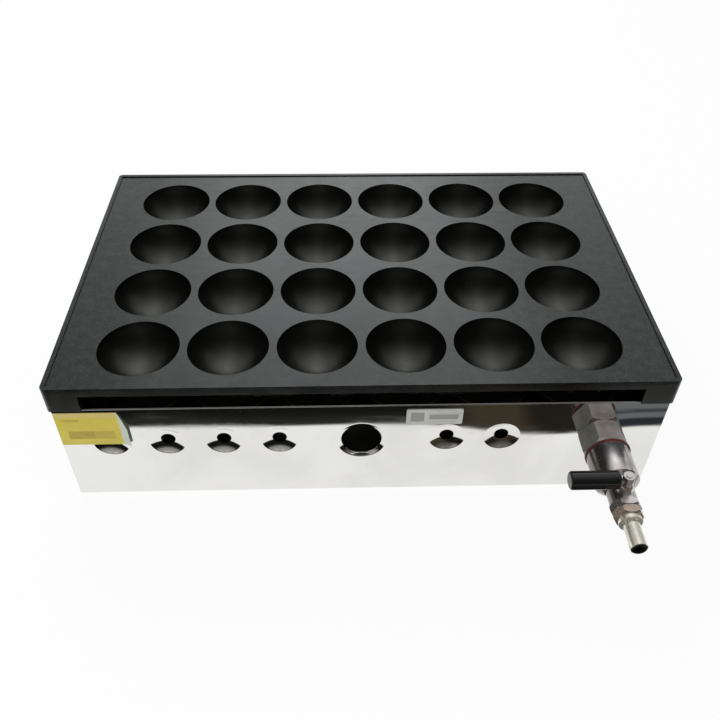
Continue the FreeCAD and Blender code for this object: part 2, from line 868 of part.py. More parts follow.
def union_body():
    body = on_gas_axis(union_radius, union_end_y, washer_y)
    body = bevel_edges(body, union_shoulder, lambda e: e.BoundBox.YMax < union_end_y + 0.01)
    socket = on_gas_axis(pipe_radius + thread_clearance, pipe_end_y, washer_y)
    throat = on_gas_axis(valve_inlet_bore, union_end_y, pipe_end_y)
    seat = on_gas_axis(union_spigot_bore + thread_clearance, union_end_y, union_end_y + union_spigot_depth)
    return body.cut([socket, throat, seat])


# Ball valve

def ball_centre():
    return Vector(gas_x, stem_y, gas_z)


def stem_bar(radius, z0, z1):
    return upright(radius, gas_x, stem_y, z0, z1)


def valve_body():
    inlet_y = union_end_y - valve_inlet_flange
    flange = hexagon_on_gas_axis(tail_nut_flats, inlet_y, union_end_y)
    spigot = on_gas_axis(union_spigot_bore, union_end_y, union_end_y + union_spigot_depth)
    barrel = on_gas_axis(valve_radius, valve_end_y + valve_hex_length, inlet_y)
    outlet = hexagon_on_gas_axis(valve_flats, valve_end_y, valve_end_y + valve_hex_length)
    bonnet = stem_bar(bonnet_radius, gas_z, bonnet_top)
    body = barrel.fuse([flange, spigot, outlet, bonnet])
    inlet = on_gas_axis(valve_inlet_bore, valve_end_y, union_end_y + union_spigot_depth)
    cavity = on_gas_axis(valve_cavity_radius, valve_end_y, union_end_y - valve_cavity_start)
    stem_hole = stem_bar(stem_radius + stem_clearance, gas_z, bonnet_top)
    packing = stem_bar(gland_spigot_radius + thread_clearance, stem_collar_z(), bonnet_top)
    return body.cut([inlet, cavity, stem_hole, packing])


def stem_collar_z():
    return bonnet_top - gland_spigot_length - stem_collar_height - stem_clearance


def valve_ball():
    """Shut at rest: the bore lies across the gas line."""
    ball = Part.makeSphere(ball_radius, ball_centre())
    bore = along_x(ball_bore, gas_x - ball_radius, gas_x + ball_radius, stem_y, gas_z)
    slot = block(gas_x - ball_slot_width / 2, gas_x + ball_slot_width / 2, stem_y - ball_radius,
                 stem_y + ball_radius, gas_z + ball_radius - ball_slot_depth, gas_z + ball_radius)
    return ball.cut([bore, slot])


def ball_seats():
    inlet_end = union_end_y - valve_cavity_start
    outlet_end = valve_end_y + tail_spigot_length
    rings = [tube_on_gas_axis(valve_cavity_radius, seat_bore, stem_y + seat_reach, inlet_end),
             tube_on_gas_axis(valve_cavity_radius, seat_bore, outlet_end, stem_y - seat_reach)]
    room = Part.makeSphere(ball_radius + ball_clearance, ball_centre())
    return group([ring.cut(room) for ring in rings])


def valve_stem():
    tang_z = gas_z + ball_radius - ball_slot_depth
    collar_z = stem_collar_z() + stem_clearance
    stem_top = lever_top + lever_nut_height + stem_end
    stem = stem_bar(stem_radius, gas_z + ball_radius, stem_top)
    tang = stem_bar(stem_radius, tang_z, gas_z + ball_radius)
    width = ball_slot_width - 2 * stem_clearance
    tang = tang.common(block(gas_x - width / 2, gas_x + width / 2, stem_y - stem_radius,
                             stem_y + stem_radius, tang_z, gas_z + ball_radius))
    collar = stem_bar(stem_collar_radius, collar_z, collar_z + stem_collar_height - stem_clearance)
    return stem.fuse([tang, collar]).removeSplitter()


def gland_nut():
    head = hexagon(gland_flats, gland_height, Vector(gas_x, stem_y, bonnet_top), Z)
    spigot = stem_bar(gland_spigot_radius, bonnet_top - gland_spigot_length, bonnet_top)
    hole = stem_bar(stem_radius + stem_clearance, bonnet_top - gland_spigot_length, gland_top)
    return head.fuse(spigot).cut(hole)


def tail_nut():
    nut = hexagon_on_gas_axis(tail_nut_flats, tail_nut_y, valve_end_y)
    spigot = on_gas_axis(valve_cavity_radius - thread_clearance, valve_end_y,
                         valve_end_y + tail_spigot_length)
    nut = nut.fuse(spigot)
    seat = on_gas_axis(nozzle_spigot_radius + thread_clearance, tail_nut_y,
                       tail_nut_y + nozzle_spigot_length)
    throat = on_gas_axis(nozzle_bore, tail_nut_y, valve_end_y + tail_spigot_length)
    return nut.cut([seat, throat])


def hose_nozzle():
    collar = on_gas_axis(nozzle_collar_radius, collar_y, tail_nut_y)
    spigot = on_gas_axis(nozzle_spigot_radius, tail_nut_y, tail_nut_y + nozzle_spigot_length)
    groove = on_gas_axis(nozzle_groove_radius, nozzle_tip_y + nozzle_land, collar_y)
    land = on_gas_axis(nozzle_radius, nozzle_tip_y, nozzle_tip_y + nozzle_land)
    land = bevel_edges(land, nozzle_tip_chamfer, lambda e: e.BoundBox.YMax < nozzle_tip_y + 0.01)
    nozzle = land.fuse([groove, collar, spigot])
    bore = on_gas_axis(nozzle_bore, nozzle_tip_y, tail_nut_y + nozzle_spigot_length)
    return nozzle.cut(bore).removeSplitter()


# Lever

def lever_bar():
    hub = stem_bar(lever_hub_radius, lever_hub_z, lever_top)
    bar = block(gas_x - lever_bar_end, gas_x, stem_y - lever_width / 2, stem_y + lever_width / 2,
                lever_z, lever_top)
    return hub.fuse(bar).cut(stem_bar(stem_radius + stem_clearance, lever_hub_z, lever_top))


def lever_grip():
    middle_z = (lever_z + lever_top) / 2
    grip = along_x(grip_radius, gas_x - grip_end, gas_x - grip_start, stem_y, middle_z)
    grip = round_edges(grip, grip_round, lambda e: e.BoundBox.XLength < 0.01)
    inside = block(gas_x - lever_bar_end, gas_x - grip_start, stem_y - lever_width / 2,
                   stem_y + lever_width / 2, lever_z, lever_top)
    return grip.cut(inside)


def lever_nut():
    nut = hexagon(lever_nut_flats, lever_nut_height, Vector(gas_x, stem_y, lever_top), Z)
    return nut.cut(stem_bar(stem_radius + stem_clearance, lever_top, lever_top + lever_nut_height))


def all_pieces():
    ys = well_ys()
    pieces = {
        "baking_plate": baking_plate(),
        "front_panel": front_panel(),
        "rear_panel": rear_panel(),
        "left_side_panel": side_panel(-1),
        "right_side_panel": side_panel(1),
        "base_pan": base_pan(),
        "corner_post_front_left": corner_post(-1, -1),
        "corner_post_front_right": corner_post(1, -1),
        "corner_post_rear_left": corner_post(-1, 1),
        "corner_post_rear_right": corner_post(1, 1),
        "rear_panel_screws": rear_panel_screws(),
        "foot_screws": foot_screws(),
        "foot_nuts": foot_nuts(),
        "rating_label": rating_label(),
        "yellow_sticker": yellow_sticker(),
        "burner_caps_left": burner_caps(burner_left - cap_thickness, burner_left),
        "burner_caps_right": burner_caps(burner_right, burner_right + cap_thickness),
        "burner_manifold": burner_manifold(),
        "burner_collars": burner_collars(),
        "burner_rail": burner_rail(),
        "manifold_bracket": manifold_bracket(),
        "burner_screws": burner_screws(),
        "mixing_tube": mixing_tube(),
        "air_shutter": air_shutter(),
        "shutter_screw": shutter_screw(),
        "gas_jet": gas_jet(),
        "inlet_pipe": inlet_pipe(),
        "inner_locknut": inner_locknut(),
        "panel_nut": panel_nut(),
        "fibre_washer": fibre_washer(),
        "union_body": union_body(),
        "valve_body": valve_body(),
        "valve_ball": valve_ball(),
        "ball_seats": ball_seats(),
        "valve_stem": valve_stem(),
        "gland_nut": gland_nut(),
        "tail_nut": tail_nut(),
        "hose_nozzle": hose_nozzle(),
        "lever_bar": lever_bar(),
        "lever_grip": lever_grip(),
        "lever_nut": lever_nut(),
    }
    corners = ["front_left", "front_right", "rear_left", "rear_right"]
    for corner, (x, y) in zip(corners, foot_places()):
        pieces["foot_" + corner] = foot(x, y)
    for i, y in enumerate(ys):
        pieces["burner_tube_%d" % (i + 1)] = burner_tube(y)
    for i in range(len(ys) - 1):
        pieces["cross_tube_%d" % (i + 1)] = cross_tube(ys[i], ys[i + 1])
    return pieces


os.makedirs("parts", exist_ok=True)
for name, shape in all_pieces().items():
    shape.translate(Vector(0, shift_y, 0))
    shape.exportStep("parts/" + name + ".step")
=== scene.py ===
"""A gas takoyaki maker, dressed around its CAD frame.

Metres, +Z up, +Y towards the back. Each operator builds one piece or one group of like pieces, and the
last one sets the stage. The sizes that a user would change are in the property groups.
"""

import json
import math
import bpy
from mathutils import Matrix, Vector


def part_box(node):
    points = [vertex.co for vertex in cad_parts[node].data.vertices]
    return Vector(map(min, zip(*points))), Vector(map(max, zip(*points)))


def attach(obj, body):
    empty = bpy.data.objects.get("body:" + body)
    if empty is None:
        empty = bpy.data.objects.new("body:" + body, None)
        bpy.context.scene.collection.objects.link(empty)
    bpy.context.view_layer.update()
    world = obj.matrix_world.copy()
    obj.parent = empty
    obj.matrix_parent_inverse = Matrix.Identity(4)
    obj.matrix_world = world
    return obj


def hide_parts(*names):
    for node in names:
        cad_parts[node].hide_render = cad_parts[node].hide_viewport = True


bl_info = {
    "name": "Takoyaki Maker",
    "version": (1, 0, 0),
    "blender": (4, 5, 0),
    "location": "View3D > Sidebar > Takoyaki",
    "description": "Builds a gas takoyaki maker with its cast plate, steel cabinet and gas cock",
    "category": "Add Mesh",
}

import bmesh
import bpy
from bpy.props import FloatProperty, FloatVectorProperty, IntProperty, PointerProperty
from bpy.types import NodeSocket, Operator, Panel, PropertyGroup
from mathutils import Matrix, Vector

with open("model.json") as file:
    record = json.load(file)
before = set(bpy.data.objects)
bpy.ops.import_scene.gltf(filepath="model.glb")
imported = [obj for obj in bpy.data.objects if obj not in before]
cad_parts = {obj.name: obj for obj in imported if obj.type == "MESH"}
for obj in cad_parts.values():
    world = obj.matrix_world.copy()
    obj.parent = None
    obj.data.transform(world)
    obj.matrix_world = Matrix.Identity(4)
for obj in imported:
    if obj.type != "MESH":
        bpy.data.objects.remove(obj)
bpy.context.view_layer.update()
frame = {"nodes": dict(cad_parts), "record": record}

NEAR = 0.00002  # how far apart two places may be and still count as one
OVERLAP = 0.001  # how far a box that cuts or joins reaches past the surface it meets
RING = 64  # corners around a well or a pressed hole
UPRIGHT = math.radians(90)
SMOOTH = math.radians(32)  # edges flatter than this are shaded smooth
SHARP = math.radians(50)  # edges sharper than this are rounded


# Sizes and colours

def number(name, description, default, unit="NONE"):
    return FloatProperty(name=name, description=description, default=default, unit=unit)


def length(name, description, default):
    return number(name, description, default, "LENGTH")


def angle(name, description, degrees):
    return FloatProperty(
        name=name, description=description, default=math.radians(degrees), subtype="ANGLE")


def count(name, description, default):
    return IntProperty(name=name, description=description, default=default, min=1)


class TAKOYAKI_PG_plate(PropertyGroup):
    columns: count("Columns", "Wells along the plate", 6)
    rows: count("Rows", "Wells across the plate", 4)
    pitch_x: length("Column pitch", "From one column of wells to the next", 0.060)
    pitch_y: length("Row pitch", "From one row of wells to the next", 0.061)
    shift_x: length("Shift along", "How far the wells' grid lies off the plate's middle", -0.0006)
    shift_y: length("Shift across", "How far the wells' grid lies off the plate's middle", -0.0024)
    well_radius: length("Well radius", "Radius of a well at the plate's field", 0.0275)
    well_depth: length("Well depth", "Depth of a well under the plate's field", 0.025)
    well_wall: length("Well wall", "Thickness of the metal around a well", 0.0034)
    well_lip: length("Well lip", "Radius of a well's rounded lip", 0.0012)
    slab: length("Slab", "Thickness of the plate between its wells", 0.007)
    skirt: length("Skirt", "Thickness of the wall around the plate", 0.006)
    rim_width: length("Rim width", "Width of the raised rim around the field", 0.003)
    rim_height: length("Rim height", "Height of the raised rim over the field", 0.0008)
    corner: length("Corner", "Radius of the plate's upright corners", 0.003)
    slot_end: length("Slot end", "Solid skirt at each end of an exhaust slot", 0.0225)
    lug_length: length("Lug length", "Length of a locating lug under a corner", 0.020)
    lug_gap: length("Lug gap", "From the cabinet's outside to a locating lug", 0.0105)
    lug_width: length("Lug width", "Thickness of a locating lug", 0.004)
    lug_drop: length("Lug drop", "How far a locating lug reaches into the cabinet", 0.005)
    edge_round: length("Edge rounding", "Rounding of the casting's edges", 0.0005)


class TAKOYAKI_PG_cabinet(PropertyGroup):
    sheet: length("Sheet", "Thickness of the cabinet's steel", 0.0012)
    fold: length("Fold", "Radius of the cabinet's folds", 0.0009)
    top_lip: length("Top lip", "Depth of the lip that the plate rests on", 0.010)
    bottom_flange: length("Bottom flange", "Depth of the flange under the cabinet", 0.024)
    hole_z: length("Air hole height", "Height of the pressed air holes", 0.059)
    hole_radius: length("Air hole radius", "Radius of the hole in a pressed dish", 0.005)
    dish_radius: length("Dish radius", "Radius of the dish around an air hole", 0.0125)
    dish_depth: length("Dish depth", "Depth of the dish around an air hole", 0.0024)
    inner_hole_x: length("First air hole", "From the middle to the first air hole", 0.0575)
    hole_pitch: length("Air hole pitch", "From one front air hole to the next", 0.038)
    side_pitch: length("Side hole pitch", "From one side air hole to the next", 0.060)
    port_x: length("Ignition port place", "The ignition port's place along the front", -0.0013)
    port_z: length("Ignition port height", "Height of the ignition port", 0.057)
    port_radius: length("Ignition port radius", "Radius of the ignition port", 0.014)
    port_rim: length("Ignition port rim", "Outer radius of the ignition port's pressed rim", 0.017)
    port_depth: length("Ignition port depth", "Depth of the ignition port's pressed rim", 0.0015)
    cell_low: length("Hole strip bottom", "Where the strip of panel with the holes starts", 0.037)
    cell_high: length("Hole strip top", "Where the strip of panel with the holes ends", 0.080)


class TAKOYAKI_PG_trim(PropertyGroup):
    sticker_paper: length("Sticker paper", "Thickness of the sticker", 0.00015)
    sticker_margin: length("Sticker margin", "Pale margin beside the sticker's yellow print", 0.0055)
    margin_lean: angle("Margin lean", "How far the margin's edge leans from upright", 20)
    curl_reach: length("Curl reach", "Width of the margin that has come away from the cabinet", 0.0075)
    curl_turn: angle("Curl turn", "How far the loose margin bends", 34)
    curl_steps: count("Curl steps", "Creases in the curl", 8)
    label_corner: length("Label corner", "Radius of the label plate's corners", 0.0014)
    label_field: length("Label field", "How deep the label plate's blank fields are sunken", 0.0002)
    label_round: length("Label edge rounding", "Rounding of the label plate's edges", 0.00008)
    screw_head: length("Screw head", "Radius of a rear screw's head", 0.0036)


class TAKOYAKI_PG_stage(PropertyGroup):
    lens: number("Lens", "The camera's focal length in millimetres", 39.345)
    camera_place: FloatVectorProperty(
        name="Camera place", description="Where the camera stands",
        default=(-0.01721, -0.44423, 0.4665), subtype="TRANSLATION")
    camera_pitch: angle("Camera pitch", "How far the camera looks down", 42.93)
    camera_yaw: angle("Camera yaw", "How far the camera turns to its left", -2.25)
    camera_roll: angle("Camera roll", "How far the camera leans", 0.814)
    backdrop: FloatVectorProperty(
        name="Backdrop", description="Colour of the floor and backdrop",
        default=(1.0, 1.0, 1.0), subtype="COLOR")
    card_edge: length("Dark card's edge", "Where the dark card in front of the cabinet starts", -0.1515)
    world_light: number("World light", "Strength of the light from all around", 0.55)
    key_power: number("Key lamp", "Power of the large soft lamp behind", 9.0, "POWER")
    fill_power: number("Fill lamp", "Power of the soft lamp in front", 9.0, "POWER")


# Modelling helpers

def to_object_mode():
    if bpy.context.mode != "OBJECT":
        bpy.ops.object.mode_set(mode="OBJECT")


def start_piece(add_primitive, **settings):
    """Starts a piece from a primitive, with its place in its mesh, and opens it for editing."""
    to_object_mode()
    bpy.ops.object.select_all(action="DESELECT")
    add_primitive(**settings)
    bpy.ops.object.transform_apply(location=True, rotation=True, scale=True)
    bpy.ops.object.mode_set(mode="EDIT")
    return bpy.context.object


def start_empty_piece():
    """Starts a piece that has nothing in it yet."""
    piece = start_piece(bpy.ops.mesh.primitive_plane_add)
    bpy.ops.mesh.delete(type="VERT")
    return piece


def pick(kind, chosen):
    """Selects just the corners, edges or faces that chosen() picks."""
    mesh = bmesh.from_edit_mesh(bpy.context.object.data)
    parts = {"VERT": mesh.verts, "EDGE": mesh.edges, "FACE": mesh.faces}[kind]
    wanted = {part.index for part in parts if chosen(part)}
    bpy.ops.mesh.select_mode(type=kind)
    bpy.ops.mesh.select_all(action="DESELECT")
    mesh = bmesh.from_edit_mesh(bpy.context.object.data)
    parts = {"VERT": mesh.verts, "EDGE": mesh.edges, "FACE": mesh.faces}[kind]
    for part in parts:
        if part.index in wanted:
            part.select_set(True)
    mesh.select_flush_mode()
    bmesh.update_edit_mesh(bpy.context.object.data)


def near(a, b):
    return abs(a - b) < NEAR


def all_at(edge, axis, place):
    """Whether every corner of an edge or a face has the same place along an axis."""
    return all(near(corner.co[axis], place) for corner in edge.verts)


def on_ring(edge, x, y, radius):
    return all(near(math.hypot(c.co.x - x, c.co.y - y), radius) for c in edge.verts)


def grow(scale=(1, 1, 1), centre=(0, 0, 0), move=(0, 0, 0)):
    """Extrudes what is selected, sizes the new part about centre and moves it."""
    bpy.ops.mesh.extrude_region_move(TRANSFORM_OT_translate={"value": (0, 0, 0)})
    bpy.ops.transform.resize(value=scale, center_override=centre)
    bpy.ops.transform.translate(value=move)


def turn_about(axis, angle, centre):
    """Turns what is selected about a world axis through centre, by the right-hand rule."""
    bpy.ops.transform.rotate(value=-angle, orient_axis=axis, center_override=centre)


def apply_modifier(kind, **settings):
    """Adds a modifier to the open piece and applies it."""
    to_object_mode()
    piece = bpy.context.object
    modifier = piece.modifiers.new(kind.title(), kind)
    for key, value in settings.items():
        setattr(modifier, key, value)
    bpy.ops.object.modifier_apply(modifier=modifier.name)
    bpy.ops.object.mode_set(mode="EDIT")


def start_box(low, high):
    """Starts a piece that fills the box between two corners."""
    middle = [(a + b) / 2 for a, b in zip(low, high)]
    box = start_piece(bpy.ops.mesh.primitive_cube_add, size=1, location=middle)
    size = [abs(b - a) for a, b in zip(low, high)]
    bpy.ops.transform.resize(value=size, center_override=middle)
    return box


def combine_box(piece, low, high, operation):
    """Cuts the box between two corners out of the piece, or joins it to the piece."""
    box = start_box(low, high)
    open_piece(piece)
    apply_modifier("BOOLEAN", object=box, operation=operation, solver="EXACT")
    to_object_mode()
    bpy.data.objects.remove(box)
    bpy.ops.object.mode_set(mode="EDIT")


def open_piece(piece):
    to_object_mode()
    bpy.ops.object.select_all(action="DESELECT")
    piece.select_set(True)
    bpy.context.view_layer.objects.active = piece
    bpy.ops.object.mode_set(mode="EDIT")


def clean_mesh():
    """Merges doubled corners and turns every face outwards."""
    bpy.ops.mesh.select_all(action="SELECT")
    bpy.ops.mesh.remove_doubles(threshold=NEAR / 2)
    bpy.ops.mesh.normals_make_consistent(inside=False)


def round_edges(width):
    apply_modifier("BEVEL", limit_method="ANGLE", angle_limit=SHARP, width=width, segments=2)


def finish_piece(name, body, slot, node):
    """Closes the open piece, names it and hands it to its body in place of a CAD node."""
    to_object_mode()
    piece = bpy.context.object
    bpy.ops.object.transform_apply(location=True, rotation=True, scale=True)
    bpy.ops.object.shade_smooth_by_angle(angle=SMOOTH)
    apply_modifier("WEIGHTED_NORMAL", keep_sharp=True)
    to_object_mode()
    piece.name = name
    piece.data.name = name
    piece.data.materials.clear()
    piece.data.materials.append(MATERIALS[slot])
    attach(piece, body)
    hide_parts(node)


def add_outline(x, y, z, width, depth):
    """Adds a rectangle's outline with as many corners as a ring."""
    bpy.ops.mesh.primitive_grid_add(
        x_subdivisions=RING // 4, y_subdivisions=RING // 4, size=1, location=(x, y, z))
    bpy.ops.transform.resize(value=(width, depth, 1), center_override=(x, y, z))
    pick("VERT", lambda corner: corner.select and not corner.is_boundary)
    bpy.ops.mesh.delete(type="VERT")


def bridge_open_edges(chosen):
    pick("EDGE", lambda edge: len(edge.link_faces) < 2 and chosen(edge))
    bpy.ops.mesh.bridge_edge_loops()


# Shader helpers

def empty_tree(owner):
    """Empties the shader tree of a material or a world."""
    owner.use_nodes = True
    owner.node_tree.nodes.clear()
    return owner.node_tree


def add_node(tree, kind, settings=None, inputs=None):
    """Adds a node and fills its inputs with values or with other nodes' outputs."""
    node = tree.nodes.new(kind)
    for key, value in (settings or {}).items():
        setattr(node, key, value)
    for key, value in (inputs or {}).items():
        if isinstance(value, NodeSocket):
            tree.links.new(value, node.inputs[key])
        else:
            node.inputs[key].default_value = value
    return node


def new_group(name, *outputs):
    """Starts a shader node group that takes a vector and a scale. outputs are its outputs' names."""
    tree = bpy.data.node_groups.new(name, "ShaderNodeTree")
    tree.interface.new_socket(name="Vector", in_out="INPUT", socket_type="NodeSocketVector")
    tree.interface.new_socket(name="Scale", in_out="INPUT", socket_type="NodeSocketFloat")
    for output in outputs:
        tree.interface.new_socket(name=output, in_out="OUTPUT", socket_type="NodeSocketFloat")
    start = tree.nodes.new("NodeGroupInput").outputs
    return tree, start["Vector"], start["Scale"], tree.nodes.new("NodeGroupOutput").inputs


def noise(tree, vector, scale, detail, roughness, distortion=0.0):
    return add_node(tree, "ShaderNodeTexNoise", inputs={
        "Vector": vector, "Scale": scale, "Detail": detail, "Roughness": roughness,
        "Distortion": distortion}).outputs["Fac"]


def ramp(tree, value, low, high, to_low=0.0, to_high=1.0):
    return add_node(tree, "ShaderNodeMapRange", {"interpolation_type": "SMOOTHSTEP"}, {
        "Value": value, "From Min": low, "From Max": high, "To Min": to_low,
        "To Max": to_high}).outputs["Result"]


def band(tree, value, low, high, blur):
    """1 between low and high, and 0 outside."""
    return times(tree, ramp(tree, value, low - blur, low + blur),
                 ramp(tree, value, high + blur, high - blur))


def maths(tree, operation, a, b=0.0):
    return add_node(tree, "ShaderNodeMath", {"operation": operation}, {0: a, 1: b}).outputs["Value"]


def times(tree, a, b):
    return maths(tree, "MULTIPLY", a, b)


def weigh(tree, a, share_a, b, share_b):
    """A share of one value and a share of another, together."""
    return maths(tree, "ADD", times(tree, a, share_a), times(tree, b, share_b))


def axes(tree, vector):
    return add_node(tree, "ShaderNodeSeparateXYZ", inputs={"Vector": vector}).outputs


def facing(tree):
    """The way the surface faces, as X, Y and Z."""
    return axes(tree, tree.nodes.new("ShaderNodeNewGeometry").outputs["Normal"])


def blend(tree, factor, a, b):
    """From colour a to colour b. Each is (red, green, blue) or another node's output."""
    a, b = [value if isinstance(value, NodeSocket) else (*value, 1.0) for value in (a, b)]
    return add_node(tree, "ShaderNodeMix", {"data_type": "RGBA"}, {0: factor, 6: a, 7: b}).outputs[2]


def fade(tree, value, low, high, a, b):
    """Colour a where value is at low, and colour b where it is at high."""
    return blend(tree, ramp(tree, value, low, high), a, b)


def build_grain_group():
    """Fine cast or rolled grain: a height, and a mask of the grain's light spots."""
    tree, vector, scale, end = new_group("Surface grain", "Height", "Spots")
    fine = noise(tree, vector, scale, 4.0, 0.6)
    coarse = noise(tree, vector, times(tree, scale, 0.22), 3.0, 0.5)
    height = weigh(tree, fine, 0.6, coarse, 0.4)
    tree.links.new(height, end["Height"])
    tree.links.new(ramp(tree, height, 0.42, 0.62), end["Spots"])


def build_smudge_group():
    """Broad wiped marks and a film of handling: a mask that varies over some centimetres."""
    tree, vector, scale, end = new_group("Handling marks", "Film", "Streaks")
    film = noise(tree, vector, scale, 5.0, 0.55, 0.6)
    stretched = add_node(tree, "ShaderNodeMapping", inputs={
        "Vector": vector, "Scale": (0.35, 1.0, 2.2)}).outputs["Vector"]
    streaks = noise(tree, stretched, times(tree, scale, 6.0), 4.0, 0.6, 0.2)
    tree.links.new(ramp(tree, film, 0.35, 0.70), end["Film"])
    tree.links.new(ramp(tree, streaks, 0.45, 0.75), end["Streaks"])


def group_outputs(tree, name, vector, scale):
    """Puts one of the shared groups into a material."""
    return add_node(tree, "ShaderNodeGroup", {"node_tree": bpy.data.node_groups[name]},
                    {"Vector": vector, "Scale": scale}).outputs


class Finish:
    """A material in the making, with the marks and the grain that its look is made from."""

    def __init__(self, name, marks, grain=None):
        self.material = bpy.data.materials.new(name)
        self.tree = empty_tree(self.material)
        self.shader = self.tree.nodes.new("ShaderNodeBsdfPrincipled")
        add_node(self.tree, "ShaderNodeOutputMaterial", inputs={"Surface": self.shader.outputs["BSDF"]})
        self.place = self.tree.nodes.new("ShaderNodeTexCoord").outputs["Object"]
        self.film, self.streaks = group_outputs(self.tree, "Handling marks", self.place, marks)
        if grain:
            self.height, self.spots = group_outputs(self.tree, "Surface grain", self.place, grain)

    def scuffed(self, low, high):
        """A roughness that rises in the wiped streaks."""
        return ramp(self.tree, self.streaks, 0.0, 1.0, low, high)

    def close(self, colour, roughness, metallic, depth, strength=1.0):
        """Fills the shader, with bumps as deep as depth, and gives back the material."""
        bump = add_node(self.tree, "ShaderNodeBump", inputs={
            "Strength": strength, "Distance": depth, "Height": self.height}).outputs["Normal"]
        for name, output in (("Base Color", colour), ("Roughness", roughness), ("Normal", bump)):
            self.tree.links.new(output, self.shader.inputs[name])
        self.shader.inputs["Metallic"].default_value = metallic
        return self.material


def metal(name, colour, shade, roughness, spread, marks, grain, bump, bare=1.0, side_shade_colour=None):
    """A metal finish that drifts to a shade where it has been handled.

    bare under 1 is a dull skin on it. The last colour, if given, is painted shade for its left and
    right faces.
    """
    look = Finish(name, marks, grain)
    tree = look.tree
    base = blend(tree, times(tree, look.film, 0.8), colour, shade)
    if side_shade_colour:
        # Painted shade: faces turned left or right are painted towards a darker colour, in place of the
        # dimmer light they mirror.
        side = facing(tree)["X"]
        painted_side_shade = maths(tree, "MAXIMUM", ramp(tree, side, -0.25, -0.65, 0.0, 0.85),
                        ramp(tree, side, 0.25, 0.70, 0.0, 0.70))
        base = blend(tree, painted_side_shade, base, side_shade_colour)
    wear = weigh(tree, look.film, 0.6, look.streaks, 0.4)
    return look.close(base, ramp(tree, wear, 0.0, 1.0, roughness, roughness + spread), bare, bump)


def coated(name, colour, shade, roughness, spread, grain, bump, shine=0.5):
    """A plastic, rubber or fibre finish."""
    look = Finish(name, 40.0, grain)
    mixed = blend(look.tree, look.film, colour, shade)
    mixed = blend(look.tree, times(look.tree, look.spots, 0.3), mixed, shade)
    look.shader.inputs["Specular IOR Level"].default_value = shine
    return look.close(mixed, look.scuffed(roughness, roughness + spread), 0.0, bump)


def nozzle_nickel():
    """Pale plating, painted near-black as shade on the nozzle's open end and inside its bore."""
    look = Finish("nickel", 60.0, 1400.0)
    tree = look.tree
    low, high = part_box("hose_nozzle")
    middle = (low + high) / 2
    spot = axes(tree, look.place)
    aside = maths(tree, "SUBTRACT", spot["X"], middle.x)
    above = maths(tree, "SUBTRACT", spot["Z"], middle.z)
    radius = maths(tree, "SQRT", weigh(tree, aside, aside, above, above))
    plated = blend(tree, look.film, (0.88, 0.86, 0.75), (0.70, 0.67, 0.57))
    # Painted shade: the open end and the inside of the bore are painted near-black.
    painted_bore_shade = maths(tree, "MAXIMUM", ramp(tree, spot["Y"], low.y + 0.0009, low.y + 0.0003),
                 ramp(tree, radius, 0.0040, 0.0037))
    colour = blend(tree, painted_bore_shade, plated, (0.020, 0.020, 0.016))
    return look.close(colour, look.scuffed(0.16, 0.34), 0.75, 0.00001)


def plate_iron():
    """Dark oiled casting: a satin skin over pits, its top painted darker towards ends and front as dim
    reflection; sooty below.
    """
    look = Finish("plate_iron", 26.0, 700.0)
    tree = look.tree
    spot = axes(tree, look.place)
    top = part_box("baking_plate")[1].z
    on_top = ramp(tree, spot["Z"], top - 0.006, top - 0.0010)
    from_middle = maths(tree, "ABSOLUTE", maths(tree, "ADD", spot["X"], 0.02))
    from_middle = maths(tree, "ADD", from_middle, times(tree, look.film, 0.015))
    # Painted reflection falloff: the top is painted darker towards its ends and its front, where it
    # mirrors less of the room's light.
    painted_dim_reflection = maths(tree, "MAXIMUM", ramp(tree, from_middle, 0.065, 0.175),
                     ramp(tree, spot["Y"], 0.045, -0.10, 0.0, 0.45))
    face = blend(tree, look.film, (0.092, 0.098, 0.097), (0.106, 0.113, 0.113))
    face = blend(tree, painted_dim_reflection, face, (0.047, 0.052, 0.051))
    well = blend(tree, look.film, (0.098, 0.098, 0.090), (0.120, 0.119, 0.110))
    base = blend(tree, on_top, well, face)
    base = blend(tree, times(tree, look.spots, 0.25), base, (0.13, 0.135, 0.135))
    sooty = times(tree, ramp(tree, facing(tree)["Z"], -0.02, -0.25),
                  ramp(tree, spot["Z"], top - 0.006, top - 0.009))
    colour = blend(tree, sooty, base, (0.012, 0.012, 0.011))
    rough = weigh(tree, look.streaks, 0.10, look.spots, 0.08)
    rough = ramp(tree, rough, 0.0, 0.18, 0.30, 0.40)
    rough = maths(tree, "ADD", rough, times(tree, sooty, 0.35))
    return look.close(colour, rough, 1.0, 0.00010, 0.8)


def mirror_steel():
    """Polished stainless sheet: nearly a mirror, with a slow roll in it and a wiped film."""
    look = Finish("mirror_steel", 14.0)
    tree = look.tree
    look.height = noise(tree, look.place, 9.0, 1.0, 0.4)
    colour = blend(tree, look.film, (0.825, 0.82, 0.79), (0.745, 0.74, 0.71))
    wear = weigh(tree, look.film, 0.5, look.streaks, 0.5)
    return look.close(colour, ramp(tree, wear, 0.1, 1.0, 0.045, 0.13), 1.0, 0.0012, 0.5)


def heated_steel():
    """Burner tubes: dull steel that the flame has turned straw and blue near its ports."""
    look = Finish("heated_steel", 34.0, 1200.0)
    tree = look.tree
    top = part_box("burner_tube_1")[1].z
    heat = times(tree, ramp(tree, axes(tree, look.place)["Z"], top - 0.012, top), look.film)
    steel = blend(tree, look.film, (0.42, 0.40, 0.37), (0.30, 0.28, 0.26))
    straw = blend(tree, heat, steel, (0.40, 0.26, 0.12))
    blue = blend(tree, times(tree, heat, heat), straw, (0.12, 0.14, 0.24))
    return look.close(blue, look.scuffed(0.32, 0.50), 1.0, 0.00003)


# The sticker's plain bars: left, right, bottom and top from its lower left corner, and their strength
STICKER_BARS = [
    (0.0063, 0.0240, 0.0058, 0.0134, 0.85), (0.0240, 0.0370, 0.0058, 0.0134, 0.55),
    (0.0036, 0.0159, 0.0224, 0.0249, 0.60)]


